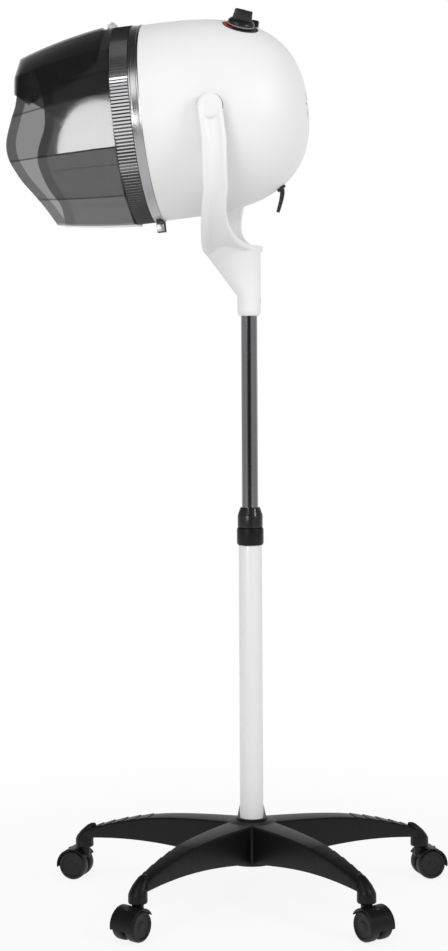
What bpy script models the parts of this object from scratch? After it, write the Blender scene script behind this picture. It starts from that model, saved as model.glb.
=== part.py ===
"""Standing hood dryer: star base on casters, two-part pole, yoke, and a tilting hood with a smoked visor.

Metres, +Z up. The hood's mouth faces -X. The floor is z = 0.
"""

import bmesh
import bpy
from math import atan2, cos, pi, radians, sin, tau
from mathutils import Matrix, Vector

# Placing: the pole stands off the middle of the object's box, because the hood reaches forward
POLE_X = 0.031
POLE_Y = -0.017
CLEARANCE = 0.0003
OVERLAP = 0.001

# Star base
LEG_COUNT = 5
BASE_TURN = radians(95.4)
CASTER_CIRCLE = 0.275
HUB_WEB = 0.0085
HUB_BOTTOM = 0.050
HUB_TOP = 0.113
HUB_LEDGE = 0.012
LEG_START = 0.022
LEG_ROOT_WIDTH = 0.046
LEG_END_WIDTH = 0.024
LEG_INSET = 0.002
LEG_WALL = 0.004
LEG_EDGE = 0.006
LEG_DROP = 0.029
LEG_DROP_POWER = 3
LEG_PLAIN_SHARES = (0.0, 0.25, 0.5)
LEG_ARCH = 0.018
LEG_ARCH_TURN = radians(130.0)
TREAD_COUNT = 3
TREAD_PITCH = 0.021
TREAD_HEIGHT = 0.002
TREAD_FIRST = 0.185
TREAD_FACE = 0.001
BOSS_RADIUS = 0.0140
BOSS_TIP_RADIUS = 0.006
BOSS_LEAN = 0.016

# Casters
STEM_RADIUS = 0.005
STEM_LENGTH = 0.024
CASTER_TRAIL = 0.014
WHEEL_RADIUS = 0.0225
WHEEL_WIDTH = 0.0165
WHEEL_SIDES = 16
WHEEL_RIM = 0.005
WHEEL_DISH = 0.003
CASTER_WEB = 0.007
CASTER_WEB_RADIUS = 0.017
CASTER_HOOD_WALL = 0.0022
CASTER_HOOD_GAP = 0.0012
CASTER_HOOD_START = radians(-8.0)
CASTER_HOOD_TURN = radians(156.0)
CASTER_HOOD_STEPS = 6
CASTER_SPINE_REACH = 0.012
CASTER_SPINE_DROP = 0.0033
CASTER_NECK_RADIUS = 0.0085
AXLE_RADIUS = 0.003

# Pole
LOWER_TUBE_RADIUS = 0.0178
LOWER_TUBE_WALL = 0.0015
LOWER_TUBE_TOP = 0.545
PLUG_LENGTH = 0.024
HUB_BOLT_RADIUS = 0.004
HUB_BOLT_HEAD_RADIUS = 0.008
HUB_BOLT_HEAD = 0.005
UPPER_TUBE_RADIUS = 0.0125
UPPER_TUBE_WALL = 0.0012
UPPER_TUBE_BOTTOM = 0.315
UPPER_TUBE_TOP = 0.938
BUSH_LENGTH = 0.015
BUSH_SPIGOT = 0.020
BUSH_BORE = 0.004

# Twist lock
LOCK_SKIRT = 0.015
LOCK_WALL = 0.0022
LOCK_LEDGE = 0.007
LOCK_RUN_CLEARANCE = 0.0006
LOCK_NECK_LENGTH = 0.015
LOCK_NECK_WALL = 0.0014
LOCK_SHOULDER = 0.0035
COLLET_WALL = 0.0022
COLLET_LENGTH = 0.020
COLLET_SLOT = 0.002
NUT_WALL = 0.0022
NUT_TAPER = 0.0042
NUT_LENGTH = 0.031
NUT_LIP = 0.012

# Yoke
PIVOT_X = -0.041
PIVOT_Z = 1.184
YOKE_GAP = 0.0040
YOKE_THICKNESS = 0.010
YOKE_BEND_DROP = 0.048
YOKE_ARM_WIDTH = 0.036
YOKE_FOOT_WIDTH = 0.089
YOKE_FLARE_SHARE = 0.62
YOKE_ARM_SWEEP = -0.008
YOKE_SWAY = 0.0145
YOKE_SWAY_SHARE = 0.7
YOKE_STEPS = 8
YOKE_RIM_HEIGHT = 0.003
YOKE_RIM_WIDTH = 0.006
YOKE_EYE_RADIUS = 0.0185
YOKE_EYE_STAND = 0.0008
SOCKET_BOTTOM = 0.878
SOCKET_RADIUS = 0.0180
SOCKET_MOUTH_RADIUS = 0.0155
SOCKET_CHAMFER = 0.008
SOCKET_TOP = 0.908
GUSSET_HALF_WIDTH = 0.045
GUSSET_INSET = 0.004
GUSSET_SHARES = (0.0, 0.3, 0.6, 0.85, 1.0)
GRUB_RADIUS = 0.003
GRUB_HEIGHT = 0.015

# Hood shell: a squared-off dome turned about the hood's axis
HOOD_TILT = radians(-6.0)
PIVOT_STATION = 0.1025
SHELL_RADIUS = 0.150
SHELL_LENGTH = 0.235
SHELL_LENGTH_POWER = 3.2
SHELL_RADIUS_POWER = 2.5
SHELL_WALL = 0.003
SHELL_SIDES = 36
SHELL_STEPS = 9
PIVOT_BOSS_RADIUS = 0.019
PIVOT_BOSS_DEPTH = 0.006
PIVOT_BOSS_STAND = 0.002
PIVOT_SCREW_RADIUS = 0.004
PIVOT_SCREW_HEAD_RADIUS = 0.008
PIVOT_SCREW_HEAD = 0.005
PIVOT_SCREW_REACH = 0.007
VENT_COUNT = 8
VENT_INNER = 0.010
VENT_OUTER = 0.026
VENT_WIDTH = 0.0045
VENT_CUT_DEPTH = 0.024

# Band clamp and the joint that it holds together
BAND_WIDTH = 0.015
BAND_THICKNESS = 0.0018
BAND_STAND = 0.0006
LUG_GAP = 0.006
LUG_THICKNESS = 0.003
LUG_HEIGHT = 0.017
LUG_INSET = 0.001
CLAMP_SCREW_RADIUS = 0.0025
CLAMP_SCREW_DROP = 0.010
CLAMP_HEAD_RADIUS = 0.006
CLAMP_HEAD = 0.005
CLAMP_NUT = 0.004
CLAMP_TAIL = 0.003

# Inner bowl
BOWL_FLANGE = 0.002
BOWL_EDGE = 0.002
BOWL_INSET = 0.016
BOWL_DEPTH = 0.105
BOWL_WALL = 0.0025
BOWL_POWER = 2.6
BOWL_STEPS = 6
BOWL_SIDES = 28
BOWL_FLAT = 0.038
BOWL_HOLE_RADIUS = 0.008
BOWL_RINGS = ((0.056, 5), (0.098, 10))

# Visor
COLLAR_FRONT = -0.042
COLLAR_WALL = 0.0035
FLUTE_COUNT = 36
FLUTE_DEPTH = 0.0014
VISOR_WALL = 0.0025
VISOR_FACETS = 12
FACET_STEPS = 2
VISOR_LAP = 0.022
VISOR_FRONT = -0.2165
VISOR_REAR_TOP_FALL = 0.003
VISOR_REAR_BOTTOM_RISE = 0.003
VISOR_FRONT_TOP_FALL = 0.045
VISOR_FRONT_BOTTOM_FALL = 0.020
VISOR_CROWN = 0.006
VISOR_STATIONS = 4

# Mouth of the visor: station along the axis, and height as a share of the shell's radius
MOUTH_CHIN = (-0.160, -0.947)
MOUTH_JAW = (-0.173, -0.707)
MOUTH_CHEEK = (-0.198, -0.433)
MOUTH_BULGE = (-0.2095, -0.133)
MOUTH_WAIST = (-0.1905, 0.240)
MOUTH_BROW = (-0.186, 0.533)
MOUTH_STEPS = 4

# Flap and its hinge; the heights of the flap's edge are shares of the shell's radius
FLAP_GAP = 0.0015
FLAP_WALL = 0.0025
FLAP_REAR = -0.057
FLAP_CORNER = -0.189
FLAP_NOSE = -0.1980
FLAP_NOSE_STEPS = 4
FLAP_NOSE_TURN = radians(81.0)
FLAP_NOSE_POWER = 0.6
FLAP_SIDE_REAR = 0.600
FLAP_SIDE_MIDDLE = (-0.0805, 0.493)
FLAP_SIDE_FRONT = (-0.1675, 0.240)
FLAP_LIP = 0.413
HINGE_STATION = -0.047
HINGE_RADIUS = 0.0042
HINGE_PIN_RADIUS = 0.0015
HINGE_HALF_WIDTH = 0.014
HINGE_LEAF_HALF_WIDTH = 0.0075
HINGE_PLATE = 0.002
HINGE_LEAF_REACH = 0.030

# Controls on the hood's shoulders
CONTROL_SETBACK = 0.084
CONTROL_ANGLE = radians(21.0)
DIAL_RADIUS = 0.0275
DIAL_THICKNESS = 0.0035
DIAL_SINK = 0.0015
SWITCH_RADIUS = 0.019
SWITCH_DEPTH = 0.026
SPINDLE_RADIUS = 0.003
SPINDLE_LENGTH = 0.012
KNOB_SKIRT_RADIUS = 0.0205
KNOB_SKIRT_HEIGHT = 0.009
KNOB_GRIP_WIDTH = 0.011
KNOB_GRIP_LENGTH = 0.031
KNOB_GRIP_HEIGHT = 0.016
KNOB_LIFT = 0.001
KNOB_SKIRT_EDGE = 0.6
KNOB_SKIRT_TOP = 0.86
KNOB_GRIP_SHOULDER = 0.88
KNOB_GRIP_TOP = 0.78
KNOB_GRIP_ROUND = 0.0018

# Blower and heater
CUP_WALL = 0.0035
CUP_HEIGHT = 0.014
MOTOR_RADIUS = 0.029
MOTOR_LENGTH = 0.045
MOTOR_SHAFT_RADIUS = 0.003
MOTOR_SHAFT_LENGTH = 0.036
FAN_GAP = 0.008
FAN_HUB_RADIUS = 0.012
FAN_HUB_LENGTH = 0.026
FAN_RADIUS = 0.058
FAN_CHORD = 0.8
FAN_BLADES = 7
FAN_BLADE_THICKNESS = 0.002
FAN_BLADE_PITCH = radians(38.0)
HEATER_RADIUS = 0.062
HEATER_WALL = 0.004
HEATER_WIDTH = 0.018
HEATER_SPOKES = 4
HEATER_SPOKE_WIDTH = 0.005
ELEMENT_THICKNESS = 0.005
ELEMENT_MARGIN = 0.002

# Cord gland
GLAND_SETBACK = 0.0545
GLAND_RADIUS = 0.0075
GLAND_FLANGE = 0.004
GLAND_NECK_RADIUS = 0.0045
GLAND_NECK_LENGTH = 0.010
BOOT_ROOT_RADIUS = 0.0042
BOOT_TIP_RADIUS = 0.0028
BOOT_LENGTH = 0.036
BOOT_STEPS = 6
BOOT_SIDES = 10
BOOT_KNEE = 0.2
BOOT_HANG = 0.9
BOOT_LEAN = -0.45

FINE_SIDES = 20
SMALL_SIDES = 12
COARSE_SIDES = 8
NUT_SIDES = 6
SHARP_ANGLE = radians(32.0)
LEAN_STEP = 0.002

# Places that follow from the sizes above
HUB_SEAT = HUB_BOTTOM + HUB_LEDGE
HUB_RADIUS = (LEG_ROOT_WIDTH / 2 - LEG_WALL) / sin(pi / LEG_COUNT) + HUB_WEB
LOCK_BOTTOM = LOWER_TUBE_TOP - LOCK_SKIRT
CONTROL_STATION = SHELL_LENGTH - CONTROL_SETBACK
GLAND_STATION = SHELL_LENGTH - GLAND_SETBACK
BAND_REAR = 0.0
BAND_FRONT = BAND_REAR - BAND_WIDTH
JOINT_MIDDLE = (BAND_REAR + BAND_FRONT) / 2
BAND_OUTER = SHELL_RADIUS + BAND_STAND
BAND_INNER = BAND_OUTER - BAND_THICKNESS
SPIGOT_RADIUS = BAND_INNER - CLEARANCE
BOWL_RADIUS = SHELL_RADIUS - BOWL_INSET
BOWL_BACK = JOINT_MIDDLE + BOWL_FLANGE / 2
BOWL_FRONT = JOINT_MIDDLE - BOWL_FLANGE / 2
CAGE_START = BOWL_DEPTH + CLEARANCE
MOTOR_START = CAGE_START + CUP_WALL + CLEARANCE
FAN_START = MOTOR_START + MOTOR_LENGTH + FAN_GAP


def station(distance):
    """Turn a distance behind the band's rear edge into the hood's own x, which is 0 at the tilt axis."""
    return distance - PIVOT_STATION


def shell_radius(distance, inset=0.0):
    """Radius of the dome at a distance behind the band, for the outer face or a face set in from it."""
    share = min(max(distance / (SHELL_LENGTH - inset), 0.0), 1.0)
    return (SHELL_RADIUS - inset) * (1 - share ** SHELL_LENGTH_POWER) ** (1 / SHELL_RADIUS_POWER)


def shell_lean(distance):
    """Angle by which the dome's surface leans back at a distance behind the band."""
    fall = shell_radius(distance - LEAN_STEP) - shell_radius(distance + LEAN_STEP)
    return atan2(fall, 2 * LEAN_STEP)


def dome(radius, length, radius_power, length_power, steps):
    """Station and radius points of a squared-off dome, from its open edge to just short of its pole."""
    points = []
    for i in range(steps):
        turn = pi / 2 * i / steps
        points.append((length * sin(turn) ** (2 / length_power), radius * cos(turn) ** (2 / radius_power)))
    return points


# Materials

def material(name, colour, roughness, metallic=0.0, alpha=1.0):
    finish = bpy.data.materials.new(name)
    finish.use_nodes = True
    shader = finish.node_tree.nodes["Principled BSDF"]
    shader.inputs["Base Color"].default_value = (*colour, 1.0)
    shader.inputs["Roughness"].default_value = roughness
    shader.inputs["Metallic"].default_value = metallic
    shader.inputs["Alpha"].default_value = alpha
    return finish


# Mesh tools

def faces_between(mesh, first, second):
    count = len(first)
    for i in range(count):
        j = (i + 1) % count
        mesh.faces.new((first[i], first[j], second[j], second[i]))


def loft(sections, ring=False):
    """Skin sections of equal point count; the ends are capped, or joined to each other for a ring."""
    mesh = bmesh.new()
    rows = [[mesh.verts.new(point) for point in section] for section in sections]
    for first, second in zip(rows, rows[1:]):
        faces_between(mesh, first, second)
    if ring:
        faces_between(mesh, rows[-1], rows[0])
    else:
        mesh.faces.new(rows[0])
        mesh.faces.new(rows[-1])
    bmesh.ops.recalc_face_normals(mesh, faces=mesh.faces)
    return mesh


def turned(profile, sides, axis="Z", closed=True, start=0.0):
    """Spin (radius, height) points about an axis; an open profile begins and ends on the axis."""
    place = {
        "X": lambda r, h: Vector((h, 0, r)),
        "Y": lambda r, h: Vector((r, h, 0)),
        "Z": lambda r, h: Vector((r, 0, h)),
    }[axis]
    mesh = bmesh.new()
    turn = Matrix.Rotation(start, 3, axis)
    points = [mesh.verts.new(turn @ place(r, h)) for r, h in profile]
    pairs = list(zip(points, points[1:]))
    if closed:
        pairs.append((points[-1], points[0]))
    edges = [mesh.edges.new(pair) for pair in pairs]
    bmesh.ops.spin(mesh, geom=points + edges, cent=(0, 0, 0), axis=place(0, 1), angle=tau,
                   steps=sides, use_merge=True)
    bmesh.ops.remove_doubles(mesh, verts=mesh.verts, dist=0.000001)
    bmesh.ops.recalc_face_normals(mesh, faces=mesh.faces)
    return mesh


def tube(outer, inner, low, high):
    return [(inner, low), (outer, low), (outer, high), (inner, high)]


def rod(radius, low, high):
    return [(0, low), (radius, low), (radius, high), (0, high)]


def prism(outline, low, high, axis="Y"):
    """Extrude an outline: (x, z) points along Y, or (x, y) points along Z."""
    if axis == "Y":
        ends = [[(x, level, z) for x, z in outline] for level in (low, high)]
    else:
        ends = [[(x, y, level) for x, y in outline] for level in (low, high)]
    return loft(ends)


def block(x0, x1, y0, y1, z0, z1):
    return prism([(x0, z0), (x1, z0), (x1, z1), (x0, z1)], y0, y1)


def merged(meshes):
    """Put several meshes into one, as separate bodies."""
    whole = bmesh.new()
    for mesh in meshes:
        held = bpy.data.meshes.new("held")
        mesh.to_mesh(held)
        mesh.free()
        whole.from_mesh(held)
        bpy.data.meshes.remove(held)
    return whole


def moved(mesh, matrix):
    bmesh.ops.transform(mesh, matrix=matrix, verts=mesh.verts)
    return mesh


# Scene objects

def empty(name, parent=None, location=(0, 0, 0), rotation=(0, 0, 0)):
    holder = bpy.data.objects.new(name, None)
    bpy.context.collection.objects.link(holder)
    holder.parent = parent
    holder.location = location
    holder.rotation_euler = rotation
    return holder


def solid(name, mesh, finish, parent, location=(0, 0, 0)):
    """Make a named object of a mesh, shaded smooth between its sharp edges."""
    data = bpy.data.meshes.new(name)
    mesh.to_mesh(data)
    mesh.free()
    data.shade_smooth()
    data.set_sharp_from_angle(angle=SHARP_ANGLE)
    data.materials.append(finish)
    piece = bpy.data.objects.new(name, data)
    bpy.context.collection.objects.link(piece)
    piece.parent = parent
    piece.location = location
    return piece


def shape(piece, mesh, operation):
    """Cut a mesh from a piece, join it on, or keep what both share."""
    tool = solid(piece.name + "_tool", mesh, piece.data.materials[0], piece.parent, piece.location)
    tool.hide_render = True
    tool.display_type = "WIRE"
    step = piece.modifiers.new(operation.lower(), "BOOLEAN")
    step.object = tool
    step.operation = operation
    step.solver = "EXACT"
    return piece


def cut(piece, mesh):
    return shape(piece, mesh, "DIFFERENCE")


def join(piece, mesh):
    return shape(piece, mesh, "UNION")


# Star base

def leg_sections():
    """Channel sections along one leg, with stepped treads near its outer end."""
    reach = CASTER_CIRCLE - BOSS_RADIUS / 2 - LEG_START
    places = [(LEG_START + reach * share, 0.0) for share in LEG_PLAIN_SHARES]
    for i in range(TREAD_COUNT):
        edge = TREAD_FIRST + TREAD_PITCH * i
        places += [(edge, 0.0), (edge + TREAD_FACE, TREAD_HEIGHT)]
    places.append((LEG_START + reach, 0.0))
    sections = []
    for radius, rise in places:
        share = (radius - LEG_START) / reach
        half = (LEG_ROOT_WIDTH + (LEG_END_WIDTH - LEG_ROOT_WIDTH) * share) / 2
        top = HUB_TOP - LEG_INSET - LEG_DROP * share ** LEG_DROP_POWER + rise
        low = HUB_BOTTOM + LEG_INSET + LEG_ARCH * sin(LEG_ARCH_TURN * share)
        roof = top - rise - LEG_WALL
        outline = [(-half, low), (-half, top - LEG_EDGE), (-half + LEG_EDGE, top)]
        outline += [(half - LEG_EDGE, top), (half, top - LEG_EDGE), (half, low)]
        outline += [(half - LEG_WALL, low), (half - LEG_WALL, roof)]
        outline += [(-half + LEG_WALL, roof), (-half + LEG_WALL, low)]
        sections.append([(radius, y, z) for y, z in outline])
    return sections


def leg_boss():
    """Leaning cone at the end of a leg that holds the caster's stem."""
    tip = HUB_TOP - LEG_DROP + LEG_INSET
    sections = []
    for radius, middle, z in ((BOSS_RADIUS, CASTER_CIRCLE, HUB_BOTTOM),
                              (BOSS_RADIUS, CASTER_CIRCLE, HUB_BOTTOM + BOSS_RADIUS),
                              (BOSS_TIP_RADIUS, CASTER_CIRCLE - BOSS_LEAN, tip)):
        ring = [tau * i / SMALL_SIDES for i in range(SMALL_SIDES)]
        sections.append([(middle + radius * cos(a), radius * sin(a), z) for a in ring])
    return loft(sections)


def leg_angle(index):
    return BASE_TURN + tau * index / LEG_COUNT


def build_base(pole, nylon, steel):
    star = solid("base_star", turned(rod(HUB_RADIUS, HUB_BOTTOM, HUB_TOP), FINE_SIDES, closed=False),
                 nylon, pole)
    for i in range(LEG_COUNT):
        turn = Matrix.Rotation(leg_angle(i), 4, "Z")
        join(star, moved(loft(leg_sections()), turn))
        join(star, moved(leg_boss(), turn))
    seat = [(0, HUB_BOTTOM - OVERLAP), (HUB_BOLT_RADIUS + CLEARANCE, HUB_BOTTOM - OVERLAP)]
    seat += [(HUB_BOLT_RADIUS + CLEARANCE, HUB_SEAT), (LOWER_TUBE_RADIUS + CLEARANCE, HUB_SEAT)]
    seat += [(LOWER_TUBE_RADIUS + CLEARANCE, HUB_TOP + OVERLAP), (0, HUB_TOP + OVERLAP)]
    bores = [turned(seat, FINE_SIDES, closed=False)]
    for i in range(LEG_COUNT):
        hole = turned(rod(STEM_RADIUS + CLEARANCE, HUB_BOTTOM - OVERLAP,
                          HUB_BOTTOM + STEM_LENGTH + CLEARANCE), SMALL_SIDES, closed=False)
        angle = leg_angle(i)
        spot = Matrix.Translation((CASTER_CIRCLE * cos(angle), CASTER_CIRCLE * sin(angle), 0))
        bores.append(moved(hole, spot))
    cut(star, merged(bores))

    bolt = rod(HUB_BOLT_HEAD_RADIUS, HUB_BOTTOM - CLEARANCE - HUB_BOLT_HEAD, HUB_BOTTOM - CLEARANCE)[:3]
    bolt += [(HUB_BOLT_RADIUS, HUB_BOTTOM - CLEARANCE), (HUB_BOLT_RADIUS, HUB_SEAT + PLUG_LENGTH)]
    bolt.append((0, HUB_SEAT + PLUG_LENGTH))
    solid("hub_bolt", turned(bolt, SMALL_SIDES, closed=False), steel, pole)


# Casters

def caster_body(axle_height):
    """Hooded housing between and over the two wheels, with its stem; the stem's axis is x = y = 0."""
    inner = WHEEL_RADIUS + CASTER_HOOD_GAP
    outer = inner + CASTER_HOOD_WALL
    half = CASTER_WEB / 2 + WHEEL_WIDTH
    share = [i / CASTER_HOOD_STEPS for i in range(CASTER_HOOD_STEPS + 1)]
    arc = [CASTER_HOOD_START + CASTER_HOOD_TURN * part for part in share]
    roof = [(inner * cos(a), inner * sin(a)) for a in arc]
    roof += [(outer * cos(a), outer * sin(a)) for a in reversed(arc)]
    hood = prism([(x + CASTER_TRAIL, z + axle_height) for x, z in roof], -half, half)
    web = rod(CASTER_WEB_RADIUS, -CASTER_WEB / 2, CASTER_WEB / 2)
    web = turned(web, SMALL_SIDES, "Y", closed=False)
    web = moved(web, Matrix.Translation((CASTER_TRAIL, 0, axle_height)))
    spine = block(CASTER_TRAIL - CASTER_WEB_RADIUS, CASTER_TRAIL + CASTER_SPINE_REACH,
                  -CASTER_WEB / 2, CASTER_WEB / 2, axle_height, axle_height + outer - CASTER_SPINE_DROP)
    top = HUB_BOTTOM - CLEARANCE
    root = axle_height + WHEEL_RADIUS / 2
    brim = axle_height + inner
    core = CASTER_WEB / 2 - CLEARANCE
    neck = [(0, root), (core, root), (core, brim), (CASTER_NECK_RADIUS, brim), (CASTER_NECK_RADIUS, top)]
    neck += [(STEM_RADIUS, top), (STEM_RADIUS, top + STEM_LENGTH), (0, top + STEM_LENGTH)]
    return hood, web, spine, turned(neck, COARSE_SIDES, closed=False)


def wheel_profile(side):
    """Tyre, dished outer face and hub of one wheel, as radius and distance from the caster's middle."""
    near = CASTER_WEB / 2 + CLEARANCE
    far = CASTER_WEB / 2 + WHEEL_WIDTH
    bore = AXLE_RADIUS + CLEARANCE
    points = [(bore, near), (WHEEL_RADIUS, near), (WHEEL_RADIUS, far - WHEEL_DISH)]
    points += [(WHEEL_RADIUS - WHEEL_RIM, far), (bore, far - WHEEL_DISH)]
    return [(radius, side * offset) for radius, offset in points]


def build_caster(pole, index, nylon, tyre, steel):
    angle = leg_angle(index)
    name = str(index + 1)
    axle_height = WHEEL_RADIUS * cos(pi / WHEEL_SIDES)
    swivel = empty("swivel_" + name, pole, (CASTER_CIRCLE * cos(angle), CASTER_CIRCLE * sin(angle), 0),
                   (0, 0, angle))
    hood, web, spine, neck = caster_body(axle_height)
    body = solid("caster_body_" + name, hood, nylon, swivel)
    join(body, web)
    join(body, spine)
    join(body, neck)
    bore = turned(rod(AXLE_RADIUS + CLEARANCE, -CASTER_WEB, CASTER_WEB), SMALL_SIDES, "Y", closed=False)
    cut(body, moved(bore, Matrix.Translation((CASTER_TRAIL, 0, axle_height))))

    axle = empty("axle_line_" + name, swivel, (CASTER_TRAIL, 0, axle_height))
    half = CASTER_WEB / 2 + WHEEL_WIDTH - WHEEL_DISH
    pin = turned(rod(AXLE_RADIUS, -half, half), SMALL_SIDES, "Y", closed=False)
    solid("caster_axle_" + name, pin, steel, axle)
    for word, side in (("left", 1), ("right", -1)):
        wheel = turned(wheel_profile(side), WHEEL_SIDES, "Y", start=pi / WHEEL_SIDES)
        solid("wheel_" + word + "_" + name, wheel, tyre, axle)


# Pole

def build_pole(pole, white, nylon):
    inner = LOWER_TUBE_RADIUS - LOWER_TUBE_WALL
    low = HUB_SEAT + CLEARANCE
    wall = tube(LOWER_TUBE_RADIUS, inner, low, LOWER_TUBE_TOP)
    solid("lower_tube", turned(wall, FINE_SIDES), white, pole)
    plug = tube(inner - CLEARANCE, HUB_BOLT_RADIUS + CLEARANCE, low, HUB_SEAT + PLUG_LENGTH)
    solid("tube_plug", turned(plug, SMALL_SIDES), nylon, pole)


def build_lock(pole, nylon):
    run = UPPER_TUBE_RADIUS + LOCK_RUN_CLEARANCE
    skirt = LOWER_TUBE_RADIUS + CLEARANCE
    ledge = LOWER_TUBE_TOP + CLEARANCE
    seat = ledge + LOCK_LEDGE
    shoulder = seat + LOCK_SHOULDER
    neck_top = shoulder + LOCK_NECK_LENGTH
    collet_outer = UPPER_TUBE_RADIUS + CLEARANCE + COLLET_WALL
    neck_inner = collet_outer + CLEARANCE
    neck_outer = neck_inner + LOCK_NECK_WALL
    profile = [(skirt, LOCK_BOTTOM), (skirt + LOCK_WALL, LOCK_BOTTOM), (skirt + LOCK_WALL, shoulder)]
    profile += [(neck_outer, shoulder), (neck_outer, neck_top), (neck_inner, neck_top), (neck_inner, seat)]
    profile += [(run, seat), (run, ledge), (skirt, ledge)]
    solid("lock_body", turned(profile, FINE_SIDES), nylon, pole)

    low = seat + CLEARANCE
    ring = tube(collet_outer, UPPER_TUBE_RADIUS + CLEARANCE, low, low + COLLET_LENGTH)
    collet = solid("lock_collet", turned(ring, FINE_SIDES), nylon, pole)
    cut(collet, block(0, collet_outer * 2, -COLLET_SLOT / 2, COLLET_SLOT / 2, low - OVERLAP,
                      low + COLLET_LENGTH + OVERLAP))

    bottom = shoulder + CLEARANCE
    top = bottom + NUT_LENGTH
    bore = neck_outer + CLEARANCE
    roof = top - NUT_LIP
    rim = bore + NUT_WALL
    lip = UPPER_TUBE_RADIUS + CLEARANCE
    nut = [(bore, bottom), (rim, bottom), (rim, roof), (rim - NUT_TAPER, top)]
    nut += [(lip, top), (lip, roof), (bore, roof)]
    solid("lock_nut", turned(nut, FINE_SIDES), nylon, pole)


def build_upper_tube(pole, chrome, nylon):
    inner = UPPER_TUBE_RADIUS - UPPER_TUBE_WALL
    wall = tube(UPPER_TUBE_RADIUS, inner, UPPER_TUBE_BOTTOM, UPPER_TUBE_TOP)
    solid("upper_tube", turned(wall, FINE_SIDES), chrome, pole)
    slide = LOWER_TUBE_RADIUS - LOWER_TUBE_WALL - CLEARANCE
    shoulder = UPPER_TUBE_BOTTOM - CLEARANCE
    bush = [(BUSH_BORE, shoulder - BUSH_LENGTH), (slide, shoulder - BUSH_LENGTH), (slide, shoulder)]
    bush += [(inner - CLEARANCE, shoulder), (inner - CLEARANCE, shoulder + BUSH_SPIGOT)]
    bush.append((BUSH_BORE, shoulder + BUSH_SPIGOT))
    solid("guide_bush", turned(bush, SMALL_SIDES), nylon, pole)


# Yoke

def pivot_face():
    """Distance from the hood's middle plane to the flat face of its pivot boss."""
    return shell_radius(PIVOT_STATION) + PIVOT_BOSS_STAND


def yoke_inner():
    return pivot_face() + YOKE_GAP


def eye_face():
    """Distance from the hood's middle plane to the face of the eye at the top of each arm."""
    return yoke_inner() - YOKE_EYE_STAND


def strap_section(middle, normal, front, rear):
    """Cross-section of the strap: a flat inner face and a dished outer face between two raised rims."""
    deep = YOKE_THICKNESS
    rim = YOKE_THICKNESS + YOKE_RIM_HEIGHT
    floor = deep - YOKE_RIM_HEIGHT
    outline = [(front, 0), (rear, 0), (rear, deep), (rear - YOKE_RIM_WIDTH, deep)]
    outline += [(rear - 2 * YOKE_RIM_WIDTH, floor), (front + 2 * YOKE_RIM_WIDTH, floor)]
    outline += [(front + YOKE_RIM_WIDTH, rim), (front, rim)]
    return [(x, middle[0] + normal[0] * out, middle[1] + normal[1] * out) for x, out in outline]


def foot_front():
    """Front edge of the strap where it runs under the hood."""
    return PIVOT_X - YOKE_ARM_WIDTH / 2 + YOKE_ARM_SWEEP


def strap_sections():
    """Sections from arm to arm; the front edge sways and the rear edge flares back towards the foot."""
    inner = yoke_inner()
    centre = PIVOT_Z - YOKE_BEND_DROP
    places = [(-1.0, YOKE_BEND_DROP)]
    places += [(i / YOKE_STEPS, 0.0) for i in range(-YOKE_STEPS, YOKE_STEPS + 1)]
    places.append((1.0, YOKE_BEND_DROP))
    sections = []
    for share, rise in places:
        turn = share * pi / 2
        normal = (sin(turn), -cos(turn))
        middle = (inner * normal[0], centre + inner * normal[1] + rise)
        sway = min(1.0, abs(share) / YOKE_SWAY_SHARE) ** 2
        front = PIVOT_X - YOKE_ARM_WIDTH / 2 if rise else foot_front() + YOKE_SWAY * sway
        flare = max(0.0, 1 - abs(share) / YOKE_FLARE_SHARE) ** 2
        rear = front + YOKE_ARM_WIDTH + (YOKE_FOOT_WIDTH - YOKE_ARM_WIDTH) * flare
        sections.append(strap_section(middle, normal, front, rear))
    return sections


def oval(x0, x1, half, z):
    middle = (x0 + x1) / 2
    reach = (x1 - x0) / 2
    ring = [tau * (i + 0.5) / FINE_SIDES for i in range(FINE_SIDES)]
    return [(middle + reach * cos(a), half * sin(a), z) for a in ring]


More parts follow.
